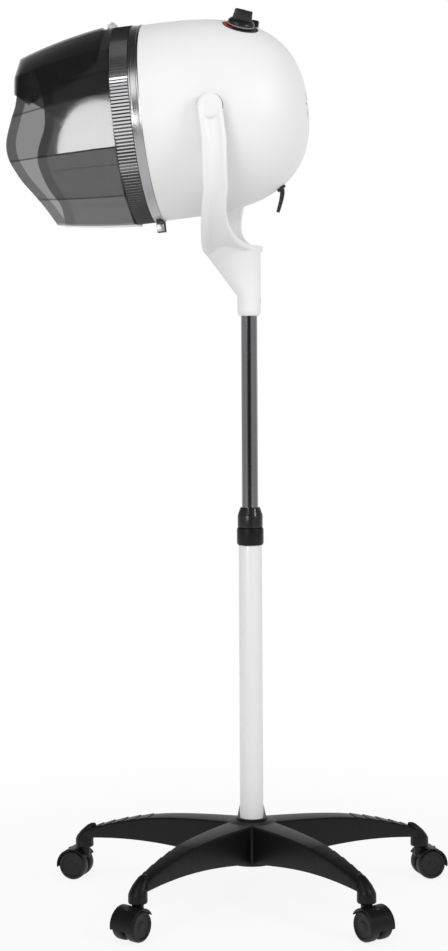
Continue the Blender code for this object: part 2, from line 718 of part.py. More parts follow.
def build_yoke(pole, white, steel):
    inner = yoke_inner()
    foot = PIVOT_Z - YOKE_BEND_DROP - inner
    strap = loft(strap_sections())
    bmesh.ops.triangulate(strap, faces=strap.faces)
    yoke = solid("yoke", strap, white, pole)
    for side in (-1, 1):
        eye = rod(YOKE_EYE_RADIUS, side * eye_face(), side * (inner + YOKE_THICKNESS + YOKE_EYE_STAND))
        eye = turned(eye, FINE_SIDES, "Y", closed=False)
        join(yoke, moved(eye, Matrix.Translation((PIVOT_X, 0, PIVOT_Z))))
    head = foot - YOKE_RIM_WIDTH / 2
    front = foot_front() + GUSSET_INSET
    rear = foot_front() + YOKE_FOOT_WIDTH - GUSSET_INSET
    gusset = []
    for share in GUSSET_SHARES:
        x0 = front + (-SOCKET_RADIUS - front) * share
        x1 = rear + (SOCKET_RADIUS - rear) * share
        half = SOCKET_RADIUS + (GUSSET_HALF_WIDTH - SOCKET_RADIUS) * (1 - share) ** 2
        gusset.append(oval(x0, x1, half, head + (SOCKET_TOP - head) * share))
    bottom = SOCKET_BOTTOM + SOCKET_CHAMFER
    gusset.append(oval(-SOCKET_RADIUS, SOCKET_RADIUS, SOCKET_RADIUS, bottom))
    gusset.append(oval(-SOCKET_MOUTH_RADIUS, SOCKET_MOUTH_RADIUS, SOCKET_MOUTH_RADIUS, SOCKET_BOTTOM))
    join(yoke, loft(gusset))
    bore = rod(UPPER_TUBE_RADIUS + CLEARANCE, SOCKET_BOTTOM - OVERLAP, UPPER_TUBE_TOP + CLEARANCE)
    holes = [turned(bore, FINE_SIDES, closed=False)]
    for side in (-1, 1):
        hole = rod(PIVOT_SCREW_RADIUS + CLEARANCE, side * (eye_face() - OVERLAP),
                   side * (inner + PIVOT_SCREW_REACH + CLEARANCE))
        hole = turned(hole, SMALL_SIDES, "Y", closed=False, start=pi / SMALL_SIDES)
        holes.append(moved(hole, Matrix.Translation((PIVOT_X, 0, PIVOT_Z))))
    cut(yoke, merged(holes))
    spot = Matrix.Translation((0, 0, bottom + GRUB_HEIGHT))
    hole = rod(GRUB_RADIUS + CLEARANCE, UPPER_TUBE_RADIUS / 2, SOCKET_RADIUS * 2)
    cut(yoke, moved(turned(hole, SMALL_SIDES, "X", closed=False), spot))
    grub = rod(GRUB_RADIUS, UPPER_TUBE_RADIUS + CLEARANCE, SOCKET_RADIUS)
    grub = turned(grub, SMALL_SIDES, "X", closed=False)
    solid("yoke_grub_screw", moved(grub, spot), steel, pole)


def build_pivots(hood, steel, nylon):
    face = pivot_face()
    inner = face - PIVOT_BOSS_DEPTH - PIVOT_BOSS_STAND
    for word, side in (("near", -1), ("far", 1)):
        shank = PIVOT_SCREW_RADIUS
        head = PIVOT_SCREW_HEAD_RADIUS
        under = inner - CLEARANCE
        tip = yoke_inner() + PIVOT_SCREW_REACH
        screw = [(0, under - PIVOT_SCREW_HEAD), (head, under - PIVOT_SCREW_HEAD), (head, under)]
        screw += [(shank, under), (shank, tip), (0, tip)]
        screw = turned([(r, side * y) for r, y in screw], SMALL_SIDES, "Y", closed=False)
        solid("pivot_screw_" + word, screw, steel, hood)
        low = face + CLEARANCE
        high = eye_face() - CLEARANCE
        washer = tube(PIVOT_BOSS_RADIUS, PIVOT_SCREW_RADIUS + CLEARANCE, side * low, side * high)
        solid("friction_washer_" + word, turned(washer, FINE_SIDES, "Y"), nylon, hood)


# Hood shell

def control_frame(side):
    """Local frame of a control: its z points out of the shell, its origin is on the shell."""
    radius = shell_radius(CONTROL_STATION)
    lean = shell_lean(CONTROL_STATION)
    turn = Matrix.Rotation(side * CONTROL_ANGLE, 4, "X")
    return turn @ Matrix.Translation((station(CONTROL_STATION), 0, radius)) @ Matrix.Rotation(lean, 4, "Y")


def gland_frame():
    """Local frame of the cord gland: its z points out of the shell's underside."""
    radius = shell_radius(GLAND_STATION)
    lean = shell_lean(GLAND_STATION)
    turn = Matrix.Rotation(pi, 4, "X")
    return turn @ Matrix.Translation((station(GLAND_STATION), 0, radius)) @ Matrix.Rotation(lean, 4, "Y")


def build_shell(hood, white):
    outer, inner = [dome(SHELL_RADIUS - wall, SHELL_LENGTH - wall, SHELL_RADIUS_POWER, SHELL_LENGTH_POWER,
                         SHELL_STEPS) for wall in (0.0, SHELL_WALL)]
    front = BOWL_BACK + CLEARANCE
    rebate = BAND_REAR + CLEARANCE
    profile = [(0, SHELL_LENGTH)] + [(r, s) for s, r in reversed(outer[1:])]
    profile += [(SHELL_RADIUS, rebate), (SPIGOT_RADIUS, rebate), (SPIGOT_RADIUS, front)]
    mouth = SHELL_RADIUS - SHELL_WALL - BAND_THICKNESS
    profile += [(mouth, front), (mouth, rebate)]
    profile += [(r, s) for s, r in inner[1:]] + [(0, SHELL_LENGTH - SHELL_WALL)]
    shell = turned([(r, station(s)) for r, s in profile], SHELL_SIDES, "X", closed=False)
    shell = solid("outer_shell", shell, white, hood)

    face = pivot_face()
    for side in (-1, 1):
        boss = rod(PIVOT_BOSS_RADIUS, side * (face - PIVOT_BOSS_DEPTH - PIVOT_BOSS_STAND), side * face)
        join(shell, turned(boss, SMALL_SIDES, "Y", closed=False))
    holes = []
    for side in (-1, 1):
        hole = rod(PIVOT_SCREW_RADIUS + CLEARANCE, side * (face - 4 * PIVOT_BOSS_DEPTH),
                   side * (face + OVERLAP))
        holes.append(turned(hole, SMALL_SIDES, "Y", closed=False, start=pi / SMALL_SIDES))
        dial = rod(DIAL_RADIUS + CLEARANCE, -SWITCH_DEPTH, SWITCH_DEPTH)
        holes.append(moved(turned(dial, FINE_SIDES, closed=False), control_frame(side)))
    neck = rod(GLAND_NECK_RADIUS + CLEARANCE, -SWITCH_DEPTH, SWITCH_DEPTH)
    holes.append(moved(turned(neck, SMALL_SIDES, closed=False), gland_frame()))
    for i in range(VENT_COUNT):
        slot = block(station(SHELL_LENGTH - VENT_CUT_DEPTH), station(SHELL_LENGTH + SHELL_WALL),
                     -VENT_WIDTH / 2, VENT_WIDTH / 2, VENT_INNER, VENT_OUTER)
        holes.append(moved(slot, Matrix.Rotation(tau * i / VENT_COUNT, 4, "X")))
    cut(shell, merged(holes))


def build_bowl(hood, white):
    outer = dome(BOWL_RADIUS, BOWL_DEPTH, 2.0, BOWL_POWER, BOWL_STEPS)
    inner = dome(BOWL_RADIUS - BOWL_WALL, BOWL_DEPTH - BOWL_WALL, 2.0, BOWL_POWER, BOWL_STEPS)
    outer = [(r, s) for s, r in outer if r > BOWL_FLAT]
    inner = [(r, s) for s, r in inner if r > BOWL_FLAT]
    profile = [(0, BOWL_DEPTH), (BOWL_FLAT, BOWL_DEPTH)] + list(reversed(outer[1:]))
    edge = SPIGOT_RADIUS - BOWL_EDGE
    profile += [(BOWL_RADIUS, BOWL_BACK), (edge, BOWL_BACK), (edge, BOWL_FRONT)]
    profile += [(BOWL_RADIUS - BOWL_WALL, BOWL_FRONT)] + inner[1:]
    profile += [(BOWL_FLAT, BOWL_DEPTH - BOWL_WALL), (0, BOWL_DEPTH - BOWL_WALL)]
    bowl = turned([(r, station(s)) for r, s in profile], BOWL_SIDES, "X", closed=False)
    bowl = solid("inner_bowl", bowl, white, hood)
    holes = []
    for radius, count in BOWL_RINGS:
        for i in range(count):
            hole = rod(BOWL_HOLE_RADIUS, station(0), station(BOWL_DEPTH * 2))
            hole = turned(hole, COARSE_SIDES, "X", closed=False)
            hole = moved(hole, Matrix.Translation((0, 0, radius)))
            holes.append(moved(hole, Matrix.Rotation(tau * i / count, 4, "X")))
    cut(bowl, merged(holes))


# Band clamp

def build_band(hood, metal, steel):
    bore = BAND_INNER / cos(pi / SHELL_SIDES)
    ring = tube(BAND_OUTER, bore, station(BAND_FRONT), station(BAND_REAR))
    band = solid("band_clamp", turned(ring, SHELL_SIDES, "X"), metal, hood)
    cut(band, block(station(BAND_FRONT) - OVERLAP, station(BAND_REAR) + OVERLAP, -LUG_GAP / 2, LUG_GAP / 2,
                    -BAND_OUTER - LUG_HEIGHT, -BAND_INNER + LUG_HEIGHT))
    for side in (-1, 1):
        near = side * LUG_GAP / 2
        far = side * (LUG_GAP / 2 + LUG_THICKNESS)
        lug = block(station(BAND_FRONT) + LUG_INSET, station(BAND_REAR) - LUG_INSET, near, far,
                    -BAND_OUTER - LUG_HEIGHT, -BAND_INNER - BAND_THICKNESS / 2)
        join(band, lug)
    axis = Matrix.Translation((station(JOINT_MIDDLE), 0, -BAND_OUTER - CLAMP_SCREW_DROP))
    reach = LUG_GAP / 2 + LUG_THICKNESS
    hole = turned(rod(CLAMP_SCREW_RADIUS + CLEARANCE, -reach * 2, reach * 2), SMALL_SIDES, "Y", closed=False)
    cut(band, moved(hole, axis))

    face = reach + CLEARANCE
    end = face + CLAMP_NUT + CLAMP_TAIL
    screw = [(0, -face - CLAMP_HEAD), (CLAMP_HEAD_RADIUS, -face - CLAMP_HEAD), (CLAMP_HEAD_RADIUS, -face)]
    screw += [(CLAMP_SCREW_RADIUS, -face), (CLAMP_SCREW_RADIUS, end), (0, end)]
    solid("clamp_screw", moved(turned(screw, SMALL_SIDES, "Y", closed=False), axis), steel, hood)
    bore = (CLAMP_SCREW_RADIUS + CLEARANCE) / cos(pi / NUT_SIDES)
    nut = tube(CLAMP_HEAD_RADIUS, bore, face, face + CLAMP_NUT)
    solid("clamp_nut", moved(turned(nut, NUT_SIDES, "Y"), axis), steel, hood)


# Visor

def collar_inner():
    return SPIGOT_RADIUS - COLLAR_WALL


def build_collar(hood, smoked):
    """Fluted ring in front of the band, with a plain spigot under the band."""
    steps = FLUTE_COUNT * 2
    crest = BAND_OUTER + FLUTE_DEPTH / 2
    rear = BOWL_FRONT - CLEARANCE
    front = BAND_FRONT - CLEARANCE
    sections = []
    for radius, depth, s in ((collar_inner(), 0, rear), (SPIGOT_RADIUS, 0, rear), (SPIGOT_RADIUS, 0, front),
                             (crest, FLUTE_DEPTH, front), (crest, FLUTE_DEPTH, COLLAR_FRONT),
                             (collar_inner(), 0, COLLAR_FRONT)):
        ring = []
        for i in range(steps):
            angle = tau * i / steps
            reach = radius - depth * (i % 2)
            ring.append((station(s), reach * sin(angle), reach * cos(angle)))
        sections.append(ring)
    solid("visor_collar", loft(sections, ring=True), smoked, hood)


def visor_heights(s):
    """Heights of the visor's top and bottom facets above and below the hood's axis."""
    share = (s - COLLAR_FRONT) / (VISOR_FRONT - COLLAR_FRONT)
    crown = VISOR_CROWN * 4 * share * (1 - share)
    top = SHELL_RADIUS - VISOR_REAR_TOP_FALL * (1 - share) - VISOR_FRONT_TOP_FALL * share + crown
    bottom = SHELL_RADIUS + VISOR_REAR_BOTTOM_RISE * (1 - share) - VISOR_FRONT_BOTTOM_FALL * share
    bottom += crown / 2
    return top, bottom


def facet_ring(s, top, bottom):
    """A ring of flat facets round the hood's axis; facets lie flat on top, below and at both sides."""
    middle = (top - bottom) / 2
    flat = (top + bottom) / 2
    count = VISOR_FACETS * FACET_STEPS
    span = tau / VISOR_FACETS
    ring = []
    for i in range(count):
        angle = tau * i / count + span / 2
        off = (angle + span / 2) % span - span / 2
        reach = flat / cos(off)
        ring.append((station(s), reach * sin(angle), middle + reach * cos(angle)))
    return ring


def round_ring(s, radius):
    count = VISOR_FACETS * FACET_STEPS
    ring = []
    for i in range(count):
        angle = tau * i / count + pi / VISOR_FACETS
        ring.append((station(s), radius * sin(angle), radius * cos(angle)))
    return ring


def smooth_line(points, steps):
    """Points of a smooth curve through the given ones."""
    padded = [points[0]] + list(points) + [points[-1]]
    line = []
    for a, b, c, d in zip(padded, padded[1:], padded[2:], padded[3:]):
        for i in range(steps):
            t = i / steps
            spot = []
            for p, q, r, w in zip(a, b, c, d):
                spot.append(q + t * (r - p) / 2 + t * t * (p - 2.5 * q + 2 * r - w / 2)
                            + t ** 3 * (1.5 * (q - r) + (w - p) / 2))
            line.append(tuple(spot))
    line.append(points[-1])
    return line


def build_visor(hood, smoked):
    spigot = collar_inner() - CLEARANCE
    shoulder = COLLAR_FRONT - CLEARANCE
    last = VISOR_STATIONS - 1
    stations = [shoulder + (VISOR_FRONT - shoulder) * i / last for i in range(VISOR_STATIONS)]
    sections = [round_ring(COLLAR_FRONT + VISOR_LAP, spigot), round_ring(shoulder, spigot)]
    for s in stations:
        top, bottom = visor_heights(s)
        sections.append(facet_ring(s, top, bottom))
    for s in reversed(stations[1:]):
        top, bottom = visor_heights(s)
        sections.append(facet_ring(s, top - VISOR_WALL, bottom - VISOR_WALL))
    sections.append(round_ring(shoulder - VISOR_WALL, spigot - VISOR_WALL))
    sections.append(round_ring(COLLAR_FRONT + VISOR_LAP, spigot - VISOR_WALL))
    visor = solid("visor", loft(sections, ring=True), smoked, hood)

    places = (MOUTH_CHIN, MOUTH_JAW, MOUTH_CHEEK, MOUTH_BULGE, MOUTH_WAIST, MOUTH_BROW)
    curve = smooth_line(places, MOUTH_STEPS)
    reach = 2 * SHELL_RADIUS
    curve = [(s, share * SHELL_RADIUS) for s, share in curve]
    outline = [(MOUTH_CHIN[0], -reach)] + curve + [(MOUTH_BROW[0], reach)]
    outline += [(VISOR_FRONT - reach, reach), (VISOR_FRONT - reach, -reach)]
    cut(visor, prism([(station(s), v) for s, v in outline], -reach, reach))


# Flap and hinge

def flap_sections(offset):
    """Rings of one face of the flap from its rear edge to its nose, set out from the visor by offset."""
    sections = []
    steps = VISOR_STATIONS - 1
    for i in range(steps + 1):
        s = FLAP_REAR + (FLAP_CORNER - FLAP_REAR) * i / steps
        top, bottom = visor_heights(s)
        sections.append(facet_ring(s, top + offset, bottom + offset))
    top, bottom = visor_heights(FLAP_CORNER)
    for i in range(1, FLAP_NOSE_STEPS + 1):
        turn = FLAP_NOSE_TURN * i / FLAP_NOSE_STEPS
        size = cos(turn) ** FLAP_NOSE_POWER
        s = FLAP_CORNER + (FLAP_NOSE - FLAP_CORNER + FLAP_GAP + FLAP_WALL - offset) * sin(turn)
        sections.append(facet_ring(s, (top + offset) * size, (bottom + offset) * size))
    return sections


def build_flap(hinge, smoked, clear):
    """The flap and the leaf on it; the hinge line is the local origin."""
    shift = Matrix.Translation((-station(HINGE_STATION), 0, -hinge_height()))
    outer = flap_sections(FLAP_GAP + FLAP_WALL)
    inner = flap_sections(FLAP_GAP)
    cup = loft(list(reversed(inner)) + outer)
    flap = solid("visor_flap", moved(cup, shift), smoked, hinge)
    reach = 2 * SHELL_RADIUS
    edge = FLAP_REAR - OVERLAP
    lower = [(edge, FLAP_SIDE_REAR), FLAP_SIDE_MIDDLE, FLAP_SIDE_FRONT, (FLAP_NOSE, FLAP_LIP)]
    lower.append((FLAP_NOSE - reach, FLAP_LIP))
    outline = [(s, share * SHELL_RADIUS) for s, share in lower]
    outline += [(FLAP_NOSE - reach, reach), (edge, reach)]
    keep = prism([(station(s), v) for s, v in outline], -reach, reach)
    shape(flap, moved(keep, shift), "INTERSECT")

    start = HINGE_STATION - HINGE_RADIUS / 2
    end = FLAP_REAR - HINGE_LEAF_REACH
    line = [FLAP_REAR, end]
    under = [(s, visor_heights(s)[0] + FLAP_GAP + FLAP_WALL + CLEARANCE) for s in line]
    crest = hinge_height() + HINGE_RADIUS / 2
    leaf = [(start, hinge_height())] + under
    leaf += [(s, v + HINGE_PLATE) for s, v in reversed(under)]
    leaf += [(FLAP_REAR + HINGE_PLATE, crest), (start, crest)]
    wide = HINGE_LEAF_HALF_WIDTH
    plate = moved(prism([(station(s), v) for s, v in leaf], -wide, wide), shift)
    leaf = solid("hinge_leaf", plate, clear, hinge)
    join(leaf, turned(rod(HINGE_RADIUS, -wide, wide), SMALL_SIDES, "Y", closed=False))
    bore = HINGE_PIN_RADIUS + CLEARANCE
    cut(leaf, turned(rod(bore, -2 * wide, 2 * wide), SMALL_SIDES, "Y", closed=False))


def hinge_height():
    return SHELL_RADIUS - VISOR_WALL + HINGE_RADIUS + HINGE_PLATE + FLAP_WALL


def build_hinge_base(hood, clear, steel):
    """Two knuckles on a foot that stands on the visor's flat top, and the pin through them."""
    axis = Matrix.Translation((station(HINGE_STATION), 0, hinge_height()))
    wide = HINGE_HALF_WIDTH
    slot = HINGE_LEAF_HALF_WIDTH + CLEARANCE
    front = HINGE_STATION - HINGE_RADIUS
    rear = COLLAR_FRONT - CLEARANCE
    floor = [(s, visor_heights(s)[0] + CLEARANCE) for s in (front, rear)]
    roof = hinge_height()
    outline = floor + [(rear, floor[1][1] + HINGE_PLATE)]
    outline += [(HINGE_STATION + HINGE_RADIUS / 2, roof), (front, roof)]
    base = solid("hinge_base", prism([(station(s), v) for s, v in outline], -wide, wide), clear, hood)
    join(base, moved(turned(rod(HINGE_RADIUS, -wide, wide), SMALL_SIDES, "Y", closed=False), axis))
    ahead = front - HINGE_RADIUS
    behind = rear + HINGE_RADIUS * 2
    above = roof + HINGE_RADIUS * 2
    gap = [(ahead, floor[0][1] + HINGE_PLATE), (behind, floor[1][1] + HINGE_PLATE)]
    gap += [(behind, above), (ahead, above)]
    cut(base, prism([(station(s), v) for s, v in gap], -slot, slot))
    bore = HINGE_PIN_RADIUS + CLEARANCE
    cut(base, moved(turned(rod(bore, -2 * wide, 2 * wide), SMALL_SIDES, "Y", closed=False), axis))
    pin = turned(rod(HINGE_PIN_RADIUS, -wide - CLEARANCE, wide + CLEARANCE), SMALL_SIDES, "Y", closed=False)
    solid("hinge_pin", moved(pin, axis), steel, hood)


# Controls

def build_control(hood, side, name, body_name, nylon, printed, grey):
    frame = empty(name + "_axis", hood)
    frame.matrix_local = control_frame(side)
    top = -DIAL_SINK
    under = top - DIAL_THICKNESS
    dial = tube(DIAL_RADIUS, SPINDLE_RADIUS + CLEARANCE, under, top)
    solid(name + "_dial", turned(dial, FINE_SIDES), printed, frame)
    roof = under - CLEARANCE
    tip = top + KNOB_LIFT + SPINDLE_LENGTH
    body = [(0, roof - SWITCH_DEPTH), (SWITCH_RADIUS, roof - SWITCH_DEPTH), (SWITCH_RADIUS, roof)]
    body += [(SPINDLE_RADIUS, roof), (SPINDLE_RADIUS, tip), (0, tip)]
    solid(body_name, turned(body, SMALL_SIDES, closed=False), grey, frame)
    low = top + KNOB_LIFT
    rim = KNOB_SKIRT_RADIUS
    skirt_top = low + KNOB_SKIRT_HEIGHT
    skirt = [(0, low), (rim, low), (rim, low + KNOB_SKIRT_HEIGHT * KNOB_SKIRT_EDGE)]
    skirt += [(rim * KNOB_SKIRT_TOP, skirt_top), (0, skirt_top)]
    knob = solid(name + "_knob", turned(skirt, FINE_SIDES, closed=False), nylon, frame)
    grip_top = skirt_top + KNOB_GRIP_HEIGHT
    half = KNOB_GRIP_LENGTH / 2
    wide = KNOB_GRIP_WIDTH / 2
    corner = wide / 2
    grip = []
    for z, taper in ((low + KNOB_SKIRT_HEIGHT / 2, 1.0), (grip_top - KNOB_GRIP_ROUND, KNOB_GRIP_SHOULDER),
                     (grip_top, KNOB_GRIP_TOP)):
        x1 = half * taper
        y1 = wide * taper
        outline = [(x1, y1 - corner), (x1 - corner, y1), (corner - x1, y1), (-x1, y1 - corner)]
        outline += [(-x1, corner - y1), (corner - x1, -y1), (x1 - corner, -y1), (x1, corner - y1)]
        grip.append([(x, y, z) for x, y in outline])
    join(knob, loft(grip))
    bore = rod(SPINDLE_RADIUS + CLEARANCE, low - OVERLAP, tip + CLEARANCE)
    cut(knob, turned(bore, SMALL_SIDES, closed=False))


# Blower and heater

def build_blower(hood, steel, nylon, casing, grey, copper):
    cup_outer = MOTOR_RADIUS + CLEARANCE + CUP_WALL
    cup_inner = MOTOR_RADIUS + CLEARANCE
    floor = CAGE_START + CUP_WALL
    cup = [(0, CAGE_START), (cup_outer, CAGE_START), (cup_outer, floor + CUP_HEIGHT)]
    cup += [(cup_inner, floor + CUP_HEIGHT), (cup_inner, floor), (0, floor)]
    cup = turned([(r, station(s)) for r, s in cup], FINE_SIDES, "X", closed=False)
    solid("motor_bracket", cup, steel, hood)

    end = MOTOR_START + MOTOR_LENGTH
    tip = end + MOTOR_SHAFT_LENGTH
    motor = [(0, MOTOR_START), (MOTOR_RADIUS, MOTOR_START), (MOTOR_RADIUS, end - CUP_WALL)]
    motor += [(MOTOR_RADIUS - CUP_WALL, end), (MOTOR_SHAFT_RADIUS, end), (MOTOR_SHAFT_RADIUS, tip), (0, tip)]
    motor = turned([(r, station(s)) for r, s in motor], FINE_SIDES, "X", closed=False)
    solid("motor", motor, casing, hood)

    hub = tube(FAN_HUB_RADIUS, MOTOR_SHAFT_RADIUS + CLEARANCE, station(FAN_START),
               station(FAN_START + FAN_HUB_LENGTH))
    fan = solid("fan_impeller", turned(hub, FINE_SIDES, "X"), nylon, hood)
    middle = station(FAN_START + FAN_HUB_LENGTH / 2)
    chord = FAN_HUB_LENGTH * FAN_CHORD
    root = (MOTOR_SHAFT_RADIUS + FAN_HUB_RADIUS) / 2
    for i in range(FAN_BLADES):
        half = FAN_BLADE_THICKNESS / 2
        blade = block(-chord / 2, chord / 2, -half, half, root, FAN_RADIUS)
        blade = moved(blade, Matrix.Rotation(FAN_BLADE_PITCH, 4, "Z"))
        blade = moved(blade, Matrix.Translation((middle, 0, 0)))
        join(fan, moved(blade, Matrix.Rotation(tau * i / FAN_BLADES, 4, "X")))
    bore = rod(MOTOR_SHAFT_RADIUS + CLEARANCE, station(FAN_START) - FAN_GAP,
               station(FAN_START) + 2 * FAN_HUB_LENGTH)
    cut(fan, turned(bore, SMALL_SIDES, "X", closed=False))

    low = station(floor)
    inner = cup_outer + CLEARANCE
    rim = tube(HEATER_RADIUS + HEATER_WALL, HEATER_RADIUS, low, low + HEATER_WIDTH)
    frame = solid("heater_frame", turned(rim, FINE_SIDES, "X"), grey, hood)
    join(frame, turned(tube(inner + HEATER_WALL, inner, low, low + CUP_HEIGHT), FINE_SIDES, "X"))
    for i in range(HEATER_SPOKES):
        half = HEATER_SPOKE_WIDTH / 2
        spoke = block(low + OVERLAP, low + CUP_HEIGHT - OVERLAP, -half, half, inner + HEATER_WALL / 2,
                      HEATER_RADIUS + HEATER_WALL / 2)
        join(frame, moved(spoke, Matrix.Rotation(tau * i / HEATER_SPOKES, 4, "X")))
    seat = HEATER_RADIUS + HEATER_WALL + CLEARANCE
    ring = tube(seat + ELEMENT_THICKNESS, seat, low + ELEMENT_MARGIN, low + HEATER_WIDTH - ELEMENT_MARGIN)
    solid("heater_element", turned(ring, FINE_SIDES, "X"), copper, hood)


# Cord gland

def build_gland(hood, nylon):
    """Flange on the shell, neck through it, and the tapered boot that bends down to the floor."""
    frame = gland_frame()
    seat = 2 * CLEARANCE
    neck = [(0, -GLAND_NECK_LENGTH), (GLAND_NECK_RADIUS, -GLAND_NECK_LENGTH), (GLAND_NECK_RADIUS, seat)]
    neck += [(GLAND_RADIUS, seat), (GLAND_RADIUS, GLAND_FLANGE), (0, GLAND_FLANGE)]
    gland = solid("cord_gland", moved(turned(neck, SMALL_SIDES, closed=False), frame), nylon, hood)
    root = frame @ Vector((0, 0, GLAND_FLANGE / 2))
    out = (frame.to_3x3() @ Vector((0, 0, 1))).normalized()
    down = Vector((BOOT_LEAN, 0, -1)).normalized()
    knee = root + out * BOOT_LENGTH * BOOT_KNEE
    end = knee + down * BOOT_LENGTH * BOOT_HANG
    sections = []
    for i in range(BOOT_STEPS + 1):
        t = i / BOOT_STEPS
        spot = root * (1 - t) ** 2 + knee * 2 * t * (1 - t) + end * t * t
        ahead = ((knee - root) * (1 - t) + (end - knee) * t).normalized()
        across = Vector((0, 1, 0))
        other = ahead.cross(across)
        radius = BOOT_ROOT_RADIUS + (BOOT_TIP_RADIUS - BOOT_ROOT_RADIUS) * t
        ring = [tau * j / BOOT_SIDES for j in range(BOOT_SIDES)]
        sections.append([spot + (across * cos(a) + other * sin(a)) * radius for a in ring])
    join(gland, loft(sections))


def main():
    for old in list(bpy.data.objects):
        bpy.data.objects.remove(old, do_unlink=True)
    nylon = material("black_nylon", (0.020, 0.020, 0.021), 0.45)
    tyre = material("black_tyre", (0.016, 0.016, 0.017), 0.60)
    white_paint = material("white_paint", (0.82, 0.82, 0.81), 0.35)
    white_plastic = material("white_plastic", (0.86, 0.86, 0.86), 0.25)
    chrome = material("chrome", (0.55, 0.55, 0.56), 0.12, metallic=1.0)
    band_metal = material("band_steel", (0.45, 0.45, 0.46), 0.22, metallic=1.0)
    steel = material("zinc_steel", (0.60, 0.60, 0.60), 0.35, metallic=1.0)
    smoked = material("smoked_plastic", (0.06, 0.06, 0.065), 0.08, alpha=0.55)
    clear = material("clear_plastic", (0.80, 0.80, 0.80), 0.15, alpha=0.7)
    printed = material("printed_dial", (0.025, 0.022, 0.022), 0.40)
    grey = material("grey_plastic", (0.25, 0.25, 0.26), 0.50)
    casing = material("motor_casing", (0.32, 0.32, 0.33), 0.40)
    copper = material("heater_wire", (0.45, 0.30, 0.20), 0.45, metallic=1.0)

    pole = empty("pole_axis", None, (POLE_X, POLE_Y, 0))
    build_base(pole, nylon, steel)
    for i in range(LEG_COUNT):
        build_caster(pole, i, nylon, tyre, steel)
    build_pole(pole, white_paint, nylon)
    build_lock(pole, nylon)
    build_upper_tube(pole, chrome, nylon)
    build_yoke(pole, white_plastic, steel)

    hood = empty("tilt_axis", pole, (PIVOT_X, 0, PIVOT_Z), (0, HOOD_TILT, 0))
    build_pivots(hood, steel, nylon)
    build_shell(hood, white_plastic)
    build_bowl(hood, white_plastic)
    build_band(hood, band_metal, steel)
    build_collar(hood, smoked)
    build_visor(hood, smoked)
    build_hinge_base(hood, clear, steel)
    hinge = empty("hinge_line", hood, (station(HINGE_STATION), 0, hinge_height()))
    build_flap(hinge, smoked, clear)
    build_control(hood, 1, "temperature", "temperature_switch", nylon, printed, grey)
    build_control(hood, -1, "timer", "timer_body", nylon, printed, grey)
    build_blower(hood, steel, nylon, casing, grey, copper)
    build_gland(hood, nylon)


main()
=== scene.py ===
from math import atan2, cos, pi, radians, sin, tau

import bmesh
import bpy
from mathutils import Matrix, Vector


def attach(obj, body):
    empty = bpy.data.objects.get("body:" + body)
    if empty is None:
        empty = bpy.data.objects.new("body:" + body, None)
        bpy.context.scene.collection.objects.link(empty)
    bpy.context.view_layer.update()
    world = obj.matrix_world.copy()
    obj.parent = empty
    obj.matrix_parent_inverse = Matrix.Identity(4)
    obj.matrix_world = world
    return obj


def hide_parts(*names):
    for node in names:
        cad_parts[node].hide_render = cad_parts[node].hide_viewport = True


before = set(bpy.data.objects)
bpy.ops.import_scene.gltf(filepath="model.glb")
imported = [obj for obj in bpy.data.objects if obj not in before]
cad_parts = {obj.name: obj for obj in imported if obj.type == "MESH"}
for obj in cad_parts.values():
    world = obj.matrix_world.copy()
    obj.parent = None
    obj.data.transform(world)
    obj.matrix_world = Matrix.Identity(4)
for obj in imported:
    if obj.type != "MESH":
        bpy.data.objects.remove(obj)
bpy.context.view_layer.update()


# Studio: a white paper floor that runs out into a white room, a wide softbox high in front, a low oval one
# beside the camera that the visor and the band mirror, and one on the far side. The ceiling and the wall
# behind the camera are dark, as polished pieces show.
POLE = Vector((0.031, -0.017, 0.0))
ON_POLE = Matrix.Translation(POLE)
HOOD_MIDDLE = Vector((-0.08, -0.017, 1.17))
CAMERA_BEARING = radians(5.4)
CAMERA_REACH = 3.12
CAMERA_HEIGHT = 0.894
CAMERA_SHIFT = -0.1788
CAMERA_PAN = radians(0.70)
CAMERA_ROLL = radians(-0.30)
CAMERA_LENS = 77.6
# ROOM_FILL lights matt finishes. Polished ones mirror a dark wall in front, dim sides and a pale wall behind,
# over spans of the direction's Y, and a dark ceiling over a span of its Z.
ROOM_FILL = 0.62
ROOM_DARK = 0.04
ROOM_SIDE = 0.42
ROOM_PALE = 1.0
FRONT_SPAN = (-0.98, -0.80)
BEHIND_SPAN = (0.0, 0.95)
CEILING_SPAN = (0.15, 0.75)
CEILING_SHARE = 0.10
PAPER_COLOUR = (0.80, 0.80, 0.80, 1.0)
PAPER_GLOW = 0.88
PAPER_FADE = (0.30, 1.10)
PAPER_SIZE = 8.0
PAPER_DROP = 0.0004
WHITE = (1.0, 1.0, 1.0, 1.0)
SOFTBOXES = (  # name, place, width, height, power
    ("high_softbox", (-1.00, -2.00, 2.75), 1.50, 1.50, 12.0),
    ("low_softbox", (-0.95, -2.45, 1.175), 1.26, 0.43, 12.4),
    ("far_softbox", (2.30, -1.30, 1.95), 0.80, 0.80, 21.0))


def add(tree, kind, inputs, **settings):
    """Add one shader node with its settings, and with the values or links of its inputs."""
    made = tree.nodes.new("ShaderNode" + kind)
    for word, value in settings.items():
        setattr(made, word, value)
    for word, value in inputs.items():
        if isinstance(value, bpy.types.NodeSocket):
            tree.links.new(value, made.inputs[word])
        else:
            made.inputs[word].default_value = value
    return made


def ramp(tree, value, span, levels):
    """A level that goes smoothly from the first to the second one while a value passes over its span."""
    made = add(tree, "MapRange", {"Value": value, "From Min": span[0], "From Max": span[1],
                                  "To Min": levels[0], "To Max": levels[1]}, interpolation_type="SMOOTHSTEP")
    return made.outputs["Result"]


def reckon(tree, operation, first, second):
    """The product or the larger one of two values."""
    return add(tree, "Math", {0: first, 1: second}, operation=operation).outputs["Value"]


scene = bpy.context.scene
scene.view_settings.view_transform = "Standard"

